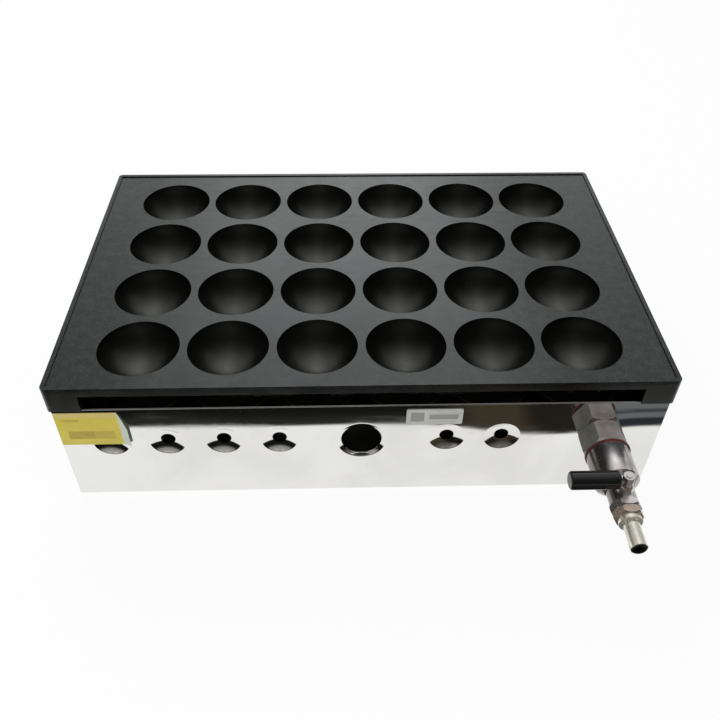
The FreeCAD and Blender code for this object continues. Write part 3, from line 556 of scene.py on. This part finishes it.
def sticker_paper():
    """Yellow paper with plain printed bars and a pale margin, and a pale back."""
    look = Finish("yellow_sticker", 40.0, 900.0)
    tree = look.tree
    low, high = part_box("yellow_sticker")
    spot = axes(tree, look.place)
    faded = times(tree, ramp(tree, spot["Z"], high.z - 0.0056, high.z - 0.0036), 0.6)
    front = blend(tree, look.film, (0.63, 0.53, 0.070), (0.55, 0.44, 0.060))
    front = blend(tree, faded, front, (0.60, 0.48, 0.23))
    ink = blend(tree, look.spots, (0.36, 0.26, 0.025), (0.44, 0.33, 0.040))
    for left, right, bottom, top, strength in STICKER_BARS:
        bar = times(tree, band(tree, spot["X"], low.x + left, low.x + right, 0.0005),
                    band(tree, spot["Z"], low.z + bottom, low.z + top, 0.0006))
        front = blend(tree, times(tree, bar, strength), front, ink)
    pale = maths(tree, "MAXIMUM", ramp(tree, facing(tree)["Y"], 0.02, 0.12),
                 ramp(tree, spot["X"], high.x - 0.0004, high.x + 0.0002))
    colour = blend(tree, pale, front, (0.50, 0.56, 0.46))
    return look.close(colour, look.scuffed(0.30, 0.45), 0.0, 0.00002)


def label_print():
    """A pale plate whose sunken fields are left blank and a shade darker."""
    look = Finish("label_plate", 60.0, 900.0)
    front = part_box("rating_label")[0].y
    depth = axes(look.tree, look.place)["Y"]
    pale = blend(look.tree, look.film, (0.52, 0.52, 0.48), (0.43, 0.43, 0.40))
    colour = fade(look.tree, depth, front + 0.00012, front + 0.00016, pale, (0.29, 0.29, 0.27))
    return look.close(colour, look.scuffed(0.30, 0.45), 0.0, 0.00002)


# What metal() takes for each slot, after the name
METALS = {
    "plain_steel": ((0.52, 0.52, 0.51), (0.40, 0.39, 0.38), 0.30, 0.18, 22.0, 1400.0, 0.00002),
    "zinc_steel": ((0.66, 0.66, 0.64), (0.52, 0.52, 0.50), 0.24, 0.16, 60.0, 1400.0, 0.00001),
    "brass": ((0.62, 0.49, 0.41), (0.44, 0.34, 0.28), 0.22, 0.20, 60.0, 1400.0, 0.00002, 0.85),
    # The last colour of chromed and dull_nickel is painted shade for their left and right faces.
    "chromed": (
        (0.90, 0.87, 0.88), (0.66, 0.61, 0.58), 0.20, 0.16, 60.0, 1400.0, 0.000004, 0.93,
        (0.20, 0.18, 0.165)),
    "dull_nickel": (
        (0.90, 0.79, 0.77), (0.44, 0.42, 0.37), 0.28, 0.18, 90.0, 1100.0, 0.00002, 0.60,
        (0.13, 0.14, 0.12)),
}
# What coated() takes for each slot, after the name
COATINGS = {
    "foot_rubber": ((0.022, 0.022, 0.022), (0.040, 0.040, 0.038), 0.55, 0.20, 900.0, 0.00005),
    "red_fibre": ((0.16, 0.035, 0.030), (0.10, 0.026, 0.022), 0.45, 0.20, 1600.0, 0.00006),
    "seat_plastic": ((0.80, 0.80, 0.78), (0.70, 0.70, 0.68), 0.30, 0.15, 1200.0, 0.00002),
    "black_sleeve": ((0.004, 0.004, 0.004), (0.008, 0.008, 0.008), 0.12, 0.08, 800.0, 0.00001, 0.6),
}
NODE_FINISHES = {"panel_nut": "dull_nickel"}  # nodes that differ from the rest of their slot
MATERIALS = {}


def build_materials():
    build_grain_group()
    build_smudge_group()
    for slot, look in METALS.items():
        MATERIALS[slot] = metal(slot, *look)
    for slot, look in COATINGS.items():
        MATERIALS[slot] = coated(slot, *look)
    MATERIALS.update(
        plate_casting=plate_iron(), polished_steel=mirror_steel(), burner_steel=heated_steel(),
        nickel=nozzle_nickel(), yellow_sticker=sticker_paper(), label_plate=label_print())


# Pieces

class TAKOYAKI_OT_finishes(Operator):
    """Build the materials and give each CAD node its own."""
    bl_idname = "takoyaki.finishes"
    bl_label = "Finishes"

    def execute(self, context):
        build_materials()
        for subpart in frame["record"]["subparts"]:
            node = subpart["node"]
            finish = NODE_FINISHES.get(node, subpart["material_slot"])
            for slot in frame["nodes"][node].material_slots:
                slot.material = MATERIALS[finish]
        return {"FINISHED"}


class TAKOYAKI_OT_plate(Operator):
    """Cast plate with its wells, rim, skirt, exhaust slots and locating lugs."""
    bl_idname = "takoyaki.plate"
    bl_label = "Baking plate"

    def execute(self, context):
        size = context.scene.takoyaki_plate
        low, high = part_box("baking_plate")
        skirt_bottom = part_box("front_panel")[1].z
        middle = (low + high) / 2
        grid = Vector((middle.x + size.shift_x, middle.y + size.shift_y, 0))
        field = high.z - size.rim_height
        slab_bottom = high.z - size.slab
        ball = (size.well_radius ** 2 + size.well_depth ** 2) / (2 * size.well_depth)
        ball_z = field - size.well_depth + ball
        x = grid.x - (size.columns - 1) * size.pitch_x / 2
        y = grid.y - (size.rows - 1) * size.pitch_y / 2

        plate = start_empty_piece()
        add_outline(x, y, field, size.pitch_x, size.pitch_y)
        clear_of_lip = size.well_radius + 1.45 * size.well_lip
        self.add_bowl(x, y, ball, ball_z, field, clear_of_lip)
        pick("EDGE", lambda e: all_at(e, 2, field) and on_ring(e, x, y, size.well_radius))
        bpy.ops.mesh.bevel(offset=size.well_lip, segments=4, affect="EDGES")
        add_outline(x, y, slab_bottom, size.pitch_x, size.pitch_y)
        self.add_bowl(x, y, ball + size.well_wall, ball_z, slab_bottom)
        for wells, step in ((size.columns, (size.pitch_x, 0, 0)), (size.rows, (0, size.pitch_y, 0))):
            apply_modifier(
                "ARRAY", count=wells, use_relative_offset=False, use_constant_offset=True,
                constant_offset_displace=step, use_merge_vertices=True, merge_threshold=NEAR / 2)

        width = size.columns * size.pitch_x
        depth = size.rows * size.pitch_y
        outer = high - low
        to_middle = (-size.shift_x, -size.shift_y, 0)
        for level, wall, rise in ((slab_bottom, size.skirt, skirt_bottom - slab_bottom),
                                  (field, size.rim_width, size.rim_height)):
            inner = (outer.x - 2 * wall, outer.y - 2 * wall)
            pick("EDGE", lambda e: e.is_boundary and all_at(e, 2, level))
            grow((inner[0] / width, inner[1] / depth, 1), grid, to_middle)
            grow(move=(0, 0, rise))
            grow((outer.x / inner[0], outer.y / inner[1], 1), middle)
        grow(move=(0, 0, skirt_bottom - high.z))
        clean_mesh()
        pick("EDGE", lambda e: self.is_corner(e, low, high))
        bpy.ops.mesh.bevel(offset=size.corner, segments=4, affect="EDGES")

        slot_x = outer.x / 2 - size.slot_end
        for wall_y in (low.y, high.y):
            combine_box(plate, (-slot_x, wall_y - size.skirt, skirt_bottom - size.skirt),
                        (slot_x, wall_y + size.skirt, slab_bottom), "DIFFERENCE")
        self.add_lugs(plate, size, middle.y, skirt_bottom, slab_bottom)
        round_edges(size.edge_round)
        finish_piece("baking_plate_casting", "plate", "plate_casting", "baking_plate")
        return {"FINISHED"}

    def add_bowl(self, x, y, ball, ball_z, level, flat_radius=0.0):
        """Adds the part of a ball under level and joins it to the open outline around it.

        A flat_radius puts a ring in the flat metal that keeps the lip's shading off the field.
        """
        bpy.ops.mesh.primitive_uv_sphere_add(
            segments=RING, ring_count=RING // 2 - 1, radius=ball, location=(x, y, ball_z))
        bpy.ops.mesh.bisect(plane_co=(x, y, level), plane_no=(0, 0, 1), clear_outer=True)
        if flat_radius:
            opening = math.sqrt(ball ** 2 - (level - ball_z) ** 2)
            pick("EDGE", lambda e: len(e.link_faces) < 2 and on_ring(e, x, y, opening))
            grow((flat_radius / opening, flat_radius / opening, 1), (x, y, level))
        bridge_open_edges(lambda e: all_at(e, 2, level))

    def is_corner(self, edge, low, high):
        at_x = all_at(edge, 0, low.x) or all_at(edge, 0, high.x)
        at_y = all_at(edge, 1, low.y) or all_at(edge, 1, high.y)
        return at_x and at_y

    def add_lugs(self, plate, size, middle_y, skirt_bottom, slab_bottom):
        """Ribs that drop just inside the cabinet's top lips."""
        half_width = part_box("front_panel")[1].x
        half_depth = (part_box("rear_panel")[1].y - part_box("front_panel")[0].y) / 2
        for side_x in (-1, 1):
            for side_y in (-1, 1):
                x = side_x * (half_width - size.lug_gap)
                y = middle_y + side_y * (half_depth - size.lug_gap)
                combine_box(plate, (x, y, skirt_bottom - size.lug_drop),
                            (x - side_x * size.lug_width, y - side_y * size.lug_length,
                             slab_bottom + OVERLAP), "UNION")


# How a dish's rim rolls out of the flat sheet: (radius, depth), as shares of the dish's
ROLLED_RIM = [(1.06, 0.0), (1.02, 0.0), (1.01, 0.003), (1.0, 0.012), (0.99, 0.028)]
BOWL_START = 0.975  # where the rim gives way to the bowl, as a share of the dish's radius
BOWL_STEPS = 10


def dish_profile(radius, hole, depth):
    """(radius, depth) from the flat sheet round a pressed hole to its edge, with a rolled rim."""
    end = hole / radius
    full = depth / (1 - end ** 2)
    profile = [(radius * share, full * sunk) for share, sunk in ROLLED_RIM]
    for i in range(BOWL_STEPS + 1):
        share = BOWL_START + (end - BOWL_START) * i / BOWL_STEPS
        profile.append((radius * share, full * (1 - share ** 2)))
    return profile


def air_holes(size, places):
    profile = dish_profile(size.dish_radius, size.hole_radius, size.dish_depth)
    return [(x, size.hole_z, profile) for x in places]


def long_panel_holes(size):
    places = [-size.inner_hole_x - i * size.hole_pitch for i in range(4)]
    places += [size.inner_hole_x + i * size.hole_pitch for i in range(2)]
    return air_holes(size, places)


def plain_profile(radius):
    """(radius, depth) of a hole with no rim: a narrow ring of flat sheet."""
    return [(radius * 1.04, 0.0), (radius, 0.0)]


def press_panel(size, node, half_length, holes, x_place, y_place, turn):
    """A folded panel with a row of pressed holes: (x, height, [(radius, depth), ...]).

    It is built face up, and then stood up with its front turned from -Y by turn.
    """
    low, high = [corner.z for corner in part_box(node)]
    holes = sorted(holes)
    edges = [-half_length]
    edges += [(a[0] + b[0]) / 2 for a, b in zip(holes, holes[1:])]
    edges += [half_length]
    cell_middle = (size.cell_low + size.cell_high) / 2
    cell_depth = size.cell_high - size.cell_low
    start_empty_piece()
    for left, right, (x, y, profile) in zip(edges, edges[1:], holes):
        add_outline((left + right) / 2, cell_middle, 0, right - left, cell_depth)
        radius, sunk = profile[0]
        bpy.ops.mesh.primitive_circle_add(vertices=RING, radius=radius, location=(x, y, 0))
        bridge_open_edges(lambda e: not e.link_faces)
        pick("EDGE", lambda e: e.is_boundary and on_ring(e, x, y, radius))
        for next_radius, next_sunk in profile[1:]:
            share = next_radius / radius
            grow((share, share, 1), (x, y, -sunk), (0, 0, sunk - next_sunk))
            radius, sunk = next_radius, next_sunk
    clean_mesh()
    for start, end, fold in ((size.cell_high, high, size.top_lip),
                             (size.cell_low, low, size.bottom_flange)):
        pick("EDGE", lambda e: e.is_boundary and all_at(e, 1, start))
        flat = math.copysign(abs(end - start) - 1.5 * size.fold, end - start)
        grow(move=(0, flat, 0))
        grow(move=(0, end - start - flat, 0))
        grow(((half_length - fold) / half_length, 1, 1), (0, 0, 0), (0, 0, -fold))
        pick("EDGE", lambda e: all_at(e, 1, end) and all_at(e, 2, 0))
        bpy.ops.mesh.bevel(offset=size.fold, segments=3, affect="EDGES")
    face_sheet_up()
    apply_modifier("SOLIDIFY", thickness=size.sheet, offset=-1.0)
    to_object_mode()
    panel = bpy.context.object
    panel.rotation_euler = (UPRIGHT, 0, turn)
    panel.location = (x_place, y_place, 0)
    finish_piece(node + "_pressed", "cabinet", "polished_steel", node)


def face_sheet_up():
    """Turns the open sheet's front to +Z."""
    clean_mesh()
    mesh = bmesh.from_edit_mesh(bpy.context.object.data)
    upward = sum(face.normal.z * face.calc_area() for face in mesh.faces)
    if upward < 0:
        bpy.ops.mesh.flip_normals()


class TAKOYAKI_OT_front_panel(Operator):
    """Front of the cabinet with its pressed air holes, ignition port and pipe hole."""
    bl_idname = "takoyaki.front_panel"
    bl_label = "Front panel"

    def execute(self, context):
        size = context.scene.takoyaki_cabinet
        low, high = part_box("front_panel")
        holes = long_panel_holes(size)
        port = dish_profile(size.port_rim, size.port_radius, size.port_depth)
        holes.append((size.port_x, size.port_z, port))
        pipe_low, pipe_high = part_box("inlet_pipe")
        pipe = (pipe_low + pipe_high) / 2
        clearance = 0.0001
        holes.append((pipe.x, pipe.z, plain_profile((pipe_high.x - pipe_low.x) / 2 + clearance)))
        press_panel(size, "front_panel", high.x, holes, 0, low.y, 0)
        return {"FINISHED"}


class TAKOYAKI_OT_rear_panel(Operator):
    """Back of the cabinet with its pressed air holes."""
    bl_idname = "takoyaki.rear_panel"
    bl_label = "Rear panel"

    def execute(self, context):
        size = context.scene.takoyaki_cabinet
        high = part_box("rear_panel")[1]
        press_panel(size, "rear_panel", high.x, long_panel_holes(size), 0, high.y, math.pi)
        return {"FINISHED"}


class TAKOYAKI_OT_side_panels(Operator):
    """Both ends of the cabinet with their pressed air holes."""
    bl_idname = "takoyaki.side_panels"
    bl_label = "Side panels"

    def execute(self, context):
        size = context.scene.takoyaki_cabinet
        holes = air_holes(size, [-size.side_pitch, 0, size.side_pitch])
        for name, side in (("left_side_panel", -1), ("right_side_panel", 1)):
            low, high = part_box(name)
            outside = high.x if side > 0 else low.x
            press_panel(size, name, (high.y - low.y) / 2, holes, outside, (low.y + high.y) / 2,
                        side * UPRIGHT)
        return {"FINISHED"}


class TAKOYAKI_OT_sticker(Operator):
    """Yellow sticker whose margin has come away from the cabinet."""
    bl_idname = "takoyaki.sticker"
    bl_label = "Sticker"

    def execute(self, context):
        size = context.scene.takoyaki_trim
        low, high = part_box("yellow_sticker")
        middle = (low + high) / 2
        end = high.x + size.sticker_margin
        place = Vector(((low.x + end) / 2, high.y - size.sticker_paper, middle.z))
        start_piece(bpy.ops.mesh.primitive_grid_add, x_subdivisions=40, y_subdivisions=28, size=1,
                    location=place, rotation=(UPRIGHT, 0, 0))
        bpy.ops.transform.resize(value=(end - low.x, 1, high.z - low.z), center_override=place)
        lean = size.margin_lean
        bpy.ops.mesh.bisect(plane_co=(high.x, place.y, high.z),
                            plane_no=(math.cos(lean), 0, math.sin(lean)), clear_outer=True)
        crease = Vector((end - size.curl_reach, place.y, middle.z))
        bend = size.curl_turn / size.curl_steps
        step = size.curl_reach / size.curl_steps
        for i in range(size.curl_steps):
            pick("VERT", lambda c: c.co.x > crease.x + NEAR)
            turn_about("Z", -bend, crease)
            crease += Vector((math.cos(bend * (i + 1)), -math.sin(bend * (i + 1)), 0)) * step
        apply_modifier("SOLIDIFY", thickness=size.sticker_paper, offset=-1.0)
        clean_mesh()
        finish_piece("yellow_sticker_sheet", "cabinet", "yellow_sticker", "yellow_sticker")
        return {"FINISHED"}


class TAKOYAKI_OT_label(Operator):
    """Blank label plate with rounded corners, a raised border and sunken fields."""
    bl_idname = "takoyaki.label"
    bl_label = "Label plate"

    def execute(self, context):
        size = context.scene.takoyaki_trim
        low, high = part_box("rating_label")
        plate = start_box(low, high)
        pick("EDGE", lambda e: all_at(e, 0, e.verts[0].co.x) and all_at(e, 2, e.verts[0].co.z))
        bpy.ops.mesh.bevel(offset=size.label_corner, segments=5, affect="EDGES")
        border, wide_border = 0.0030, 0.0050
        small_end, wide_start = 0.0120, 0.0155  # from the label's left
        fields = [(low.x + border, low.x + small_end, border),
                  (low.x + wide_start, high.x - border, wide_border)]
        for left, right, inset in fields:
            combine_box(plate, (left, low.y - OVERLAP, low.z + inset),
                        (right, low.y + size.label_field, high.z - inset), "DIFFERENCE")
        round_edges(size.label_round)
        finish_piece("rating_label_plate", "cabinet", "label_plate", "rating_label")
        return {"FINISHED"}


# A screw head's rings: their size over the ring below, and their rise over the head's height
HEAD_RINGS = [(1.0, 0.55), (0.93, 0.25), (0.77, 0.14), (0.55, 0.06)]
# A screw's cross recess: half the length and width of its arms over the head's radius, and its floor
RECESS_ARM, RECESS_WIDTH, RECESS_FLOOR = 0.55, 0.16, 0.35


class TAKOYAKI_OT_screws(Operator):
    """Pan heads with a cross recess that hold the rear panel."""
    bl_idname = "takoyaki.screws"
    bl_label = "Rear screws"

    def execute(self, context):
        radius = context.scene.takoyaki_trim.screw_head
        low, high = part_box("rear_panel_screws")
        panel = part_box("rear_panel")[1].y
        height = high.y - panel
        first = Vector((low.x + radius, panel, low.z + radius))
        head = start_piece(bpy.ops.mesh.primitive_circle_add, vertices=RING // 2, radius=radius,
                           fill_type="NGON", location=first, rotation=(UPRIGHT, 0, 0))
        for share, lift in HEAD_RINGS:
            grow((share, 1, share), first, (0, height * lift, 0))
        for wide, tall in ((RECESS_ARM, RECESS_WIDTH), (RECESS_WIDTH, RECESS_ARM)):
            reach = Vector((radius * wide, 0, radius * tall))
            combine_box(head, first - reach + Vector((0, height * RECESS_FLOOR, 0)),
                        first + reach + Vector((0, height * 2, 0)), "DIFFERENCE")
        for move in ((0, 0, high.z - low.z - 2 * radius), (high.x - low.x - 2 * radius, 0, 0)):
            bpy.ops.mesh.select_all(action="SELECT")
            bpy.ops.mesh.duplicate_move(TRANSFORM_OT_translate={"value": move})
        clean_mesh()
        finish_piece("rear_panel_screw_heads", "cabinet", "zinc_steel", "rear_panel_screws")
        return {"FINISHED"}


# Stage

ROOM_PEAK = 2.2  # the mirrored room's light where both curves below are 1
# The room's light, from level behind the object (0) over the top (0.5) to level in front (1)
RISE_LIGHT = [
    (0.0, 0.40), (0.13, 0.86), (0.167, 0.94), (0.195, 0.73), (0.222, 0.57), (0.245, 0.47),
    (0.27, 0.45), (0.34, 0.47), (0.40, 0.44), (0.50, 0.32), (0.583, 0.195), (0.667, 0.080),
    (0.80, 0.020), (1.0, 0.014)]
# The same light from the left (0) to the right (1)
SIDE_LIGHT = [
    (0.0, 0.10), (0.15, 0.33), (0.25, 0.47), (0.325, 0.56), (0.375, 0.64), (0.43, 0.82), (0.50, 1.0),
    (0.55, 1.0), (0.60, 0.87), (0.65, 0.75), (0.75, 0.55), (0.85, 0.36), (1.0, 0.10)]


def glow(tree, colour):
    return add_node(tree, "ShaderNodeEmission", inputs={"Color": colour}).outputs[0]


def floor_paper(base):
    """Paper that shows base to the camera and to reflections, and still takes some shadow."""
    material = bpy.data.materials.new("floor_paper")
    tree = empty_tree(material)
    glow_share = 0.92
    path = tree.nodes.new("ShaderNodeLightPath").outputs
    seen = maths(tree, "MAXIMUM", path["Is Camera Ray"], path["Is Glossy Ray"])
    seen = maths(tree, "MAXIMUM", seen, path["Is Transmission Ray"])
    matt = add_node(tree, "ShaderNodeBsdfDiffuse", inputs={"Color": (*base, 1.0)}).outputs[0]
    mix = add_node(tree, "ShaderNodeMixShader", inputs={
        0: times(tree, seen, glow_share), 1: matt, 2: glow(tree, (*base, 1.0))}).outputs[0]
    add_node(tree, "ShaderNodeOutputMaterial", inputs={"Surface": mix})
    return material


def painted_reflection_tones(card_edge):
    """Painted reflection: glowing tones for the steel to mirror, dark along its wavy edge, with bands
    on its right, paler further out and palest at its sides.
    """
    material = bpy.data.materials.new("dark_card")
    tree = empty_tree(material)
    spot = axes(tree, tree.nodes.new("ShaderNodeTexCoord").outputs["Object"])
    x = spot["X"]
    wave = maths(tree, "ADD", ramp(tree, x, 0.045, 0.14, 0.0, 0.0130),
                 ramp(tree, x, 0.15, 0.23, 0.0, -0.0065))
    past = maths(tree, "SUBTRACT", maths(tree, "ADD", wave, card_edge), spot["Y"])
    left = fade(tree, past, 0.002, 0.016, (0.021, 0.022, 0.019), (0.008, 0.008, 0.007))
    brown = fade(tree, x, 0.125, 0.145, (0.050, 0.040, 0.026), (0.018, 0.016, 0.012))
    right = fade(tree, past, 0.0080, 0.0105, (0.020, 0.026, 0.032), (0.145, 0.155, 0.158))
    line = band(tree, past, 0.0150, 0.0190, 0.0010)
    right = blend(tree, line, right, (0.045, 0.054, 0.062))
    colour = fade(tree, x, 0.060, 0.10, left, brown)
    colour = fade(tree, x, 0.18, 0.20, colour, right)
    middle = fade(tree, x, 0.0, 0.05, (0.30, 0.30, 0.28), (0.10, 0.096, 0.085))
    far = fade(tree, x, 0.0, 0.05, (0.52, 0.52, 0.49), (0.22, 0.22, 0.20))
    end = (0.06, 0.06, 0.055)
    for low, high, tone in ((0.055, 0.150, middle), (0.150, 0.500, far), (0.45, 0.75, end)):
        colour = fade(tree, past, low, high, colour, tone)
    colour = fade(tree, maths(tree, "ABSOLUTE", x), 0.32, 0.50, colour, (0.80, 0.80, 0.78))
    colour = fade(tree, past, 0.0015, -0.0015, colour, (0.97, 0.97, 0.97))
    add_node(tree, "ShaderNodeOutputMaterial", inputs={"Surface": glow(tree, colour)})
    return material


class TAKOYAKI_OT_stage(Operator):
    """Floor, backdrop, dark card, lamps and camera."""
    bl_idname = "takoyaki.stage"
    bl_label = "Stage"

    def execute(self, context):
        size = context.scene.takoyaki_stage
        self.add_floor(size)
        self.add_card(size)
        self.set_world(context, size)
        self.add_lamp("key_lamp", (-0.45, 1.15, 1.25), 1.1, size.key_power)
        self.add_lamp("fill_lamp", (-0.5, -1.3, 1.2), 1.2, size.fill_power)
        self.add_camera(context, size)
        context.scene.view_settings.view_transform = "Standard"
        return {"FINISHED"}

    def add_floor(self, size):
        floor = start_piece(bpy.ops.mesh.primitive_plane_add, size=12, location=(0, 0, 0))
        to_object_mode()
        floor.name = "floor"
        floor.data.materials.append(floor_paper(size.backdrop[:]))

    def add_card(self, size):
        """A dark card with a wavy edge on the floor in front, which only reflections see; it glows with
        painted reflection tones.
        """
        width, depth, lift = 3.0, 5.0, 0.001
        wave_room = 0.014
        place = (0, size.card_edge + wave_room - depth / 2, lift)
        card = start_piece(bpy.ops.mesh.primitive_grid_add, x_subdivisions=4, y_subdivisions=4,
                           size=1, location=place)
        bpy.ops.transform.resize(value=(width, depth, 1), center_override=place)
        to_object_mode()
        card.name = "dark_card"
        card.data.materials.append(painted_reflection_tones(size.card_edge))
        for kind in ("camera", "diffuse", "transmission", "volume_scatter", "shadow"):
            setattr(card, "visible_" + kind, False)

    def set_world(self, context, size):
        world = bpy.data.worlds.new("studio")
        context.scene.world = world
        tree = empty_tree(world)
        path = tree.nodes.new("ShaderNodeLightPath").outputs
        seen = maths(tree, "MAXIMUM", path["Is Camera Ray"], path["Is Transmission Ray"])
        lit = ramp(tree, seen, 0.0, 1.0, size.world_light, 1.0)
        unmirrored = maths(tree, "SUBTRACT", 1.0, path["Is Glossy Ray"])
        strength = weigh(tree, unmirrored, lit, path["Is Glossy Ray"], self.room(tree))
        sky = add_node(tree, "ShaderNodeBackground", inputs={
            "Color": (*size.backdrop[:], 1.0), "Strength": strength}).outputs[0]
        add_node(tree, "ShaderNodeOutputWorld", inputs={"Surface": sky})

    def room(self, tree):
        """What metal mirrors: a pale backdrop low at the back, a soft light overhead, a dim front."""
        way = axes(tree, tree.nodes.new("ShaderNodeTexCoord").outputs["Generated"])
        rise = maths(tree, "ARCTAN2", way["Z"], way["Y"])
        along = self.curve(tree, maths(tree, "DIVIDE", rise, math.pi), RISE_LIGHT)
        side = maths(tree, "ADD", times(tree, way["X"], 0.5), 0.5)
        across = self.curve(tree, side, SIDE_LIGHT)
        return times(tree, times(tree, along, across), ROOM_PEAK)

    def curve(self, tree, value, points):
        """Brightness that follows points of (place, brightness), both from 0 to 1."""
        node = add_node(tree, "ShaderNodeValToRGB", inputs={"Fac": value})
        node.color_ramp.interpolation = "B_SPLINE"
        stops = node.color_ramp.elements
        while len(stops) < len(points):
            stops.new(0.5)
        for stop, (place, bright) in zip(stops, points):
            stop.position = place
            stop.color = (bright, bright, bright, 1.0)
        return node.outputs["Color"]

    def add_lamp(self, name, place, width, power):
        """A soft square lamp that metal doesn't mirror."""
        data = bpy.data.lights.new(name, "AREA")
        data.shape = "SQUARE"
        data.size = width
        data.energy = power
        lamp = bpy.data.objects.new(name, data)
        bpy.context.collection.objects.link(lamp)
        target = Vector((0, 0.04, 0.08))
        lamp.location = place
        lamp.rotation_euler = (target - lamp.location).to_track_quat("-Z", "Y").to_euler()
        lamp.visible_glossy = False

    def add_camera(self, context, size):
        data = bpy.data.cameras.new("camera")
        data.lens = size.lens
        data.sensor_width = 36.0
        data.clip_start = 0.01
        camera = bpy.data.objects.new("camera", data)
        context.collection.objects.link(camera)
        turn = Matrix.Rotation(size.camera_yaw, 4, "Z")
        turn = turn @ Matrix.Rotation(UPRIGHT - size.camera_pitch, 4, "X")
        turn = turn @ Matrix.Rotation(size.camera_roll, 4, "Z")
        camera.matrix_world = Matrix.Translation(size.camera_place[:]) @ turn
        context.scene.camera = camera


class TAKOYAKI_PT_sidebar(Panel):
    """Lists the pieces in the order in which they are built."""
    bl_idname = "TAKOYAKI_PT_sidebar"
    bl_label = "Takoyaki maker"
    bl_space_type = "VIEW_3D"
    bl_region_type = "UI"
    bl_category = "Takoyaki"

    def draw(self, context):
        for builder in BUILDERS:
            self.layout.operator(builder.bl_idname)


SETTINGS = {
    "takoyaki_plate": TAKOYAKI_PG_plate,
    "takoyaki_cabinet": TAKOYAKI_PG_cabinet,
    "takoyaki_trim": TAKOYAKI_PG_trim,
    "takoyaki_stage": TAKOYAKI_PG_stage,
}
BUILDERS = [
    TAKOYAKI_OT_finishes,
    TAKOYAKI_OT_plate,
    TAKOYAKI_OT_front_panel,
    TAKOYAKI_OT_rear_panel,
    TAKOYAKI_OT_side_panels,
    TAKOYAKI_OT_sticker,
    TAKOYAKI_OT_label,
    TAKOYAKI_OT_screws,
    TAKOYAKI_OT_stage,
]


def register():
    for group in SETTINGS.values():
        bpy.utils.register_class(group)
    for name, group in SETTINGS.items():
        setattr(bpy.types.Scene, name, PointerProperty(type=group))
    for builder in BUILDERS:
        bpy.utils.register_class(builder)
    bpy.utils.register_class(TAKOYAKI_PT_sidebar)


def unregister():
    bpy.utils.unregister_class(TAKOYAKI_PT_sidebar)
    for builder in reversed(BUILDERS):
        bpy.utils.unregister_class(builder)
    for name, group in SETTINGS.items():
        delattr(bpy.types.Scene, name)
        bpy.utils.unregister_class(group)


def main():
    register()
    bpy.ops.takoyaki.finishes()
    bpy.ops.takoyaki.plate()
    bpy.ops.takoyaki.front_panel()
    bpy.ops.takoyaki.rear_panel()
    bpy.ops.takoyaki.side_panels()
    bpy.ops.takoyaki.sticker()
    bpy.ops.takoyaki.label()
    bpy.ops.takoyaki.screws()
    bpy.ops.takoyaki.stage()


if __name__ == "__main__":
    main()
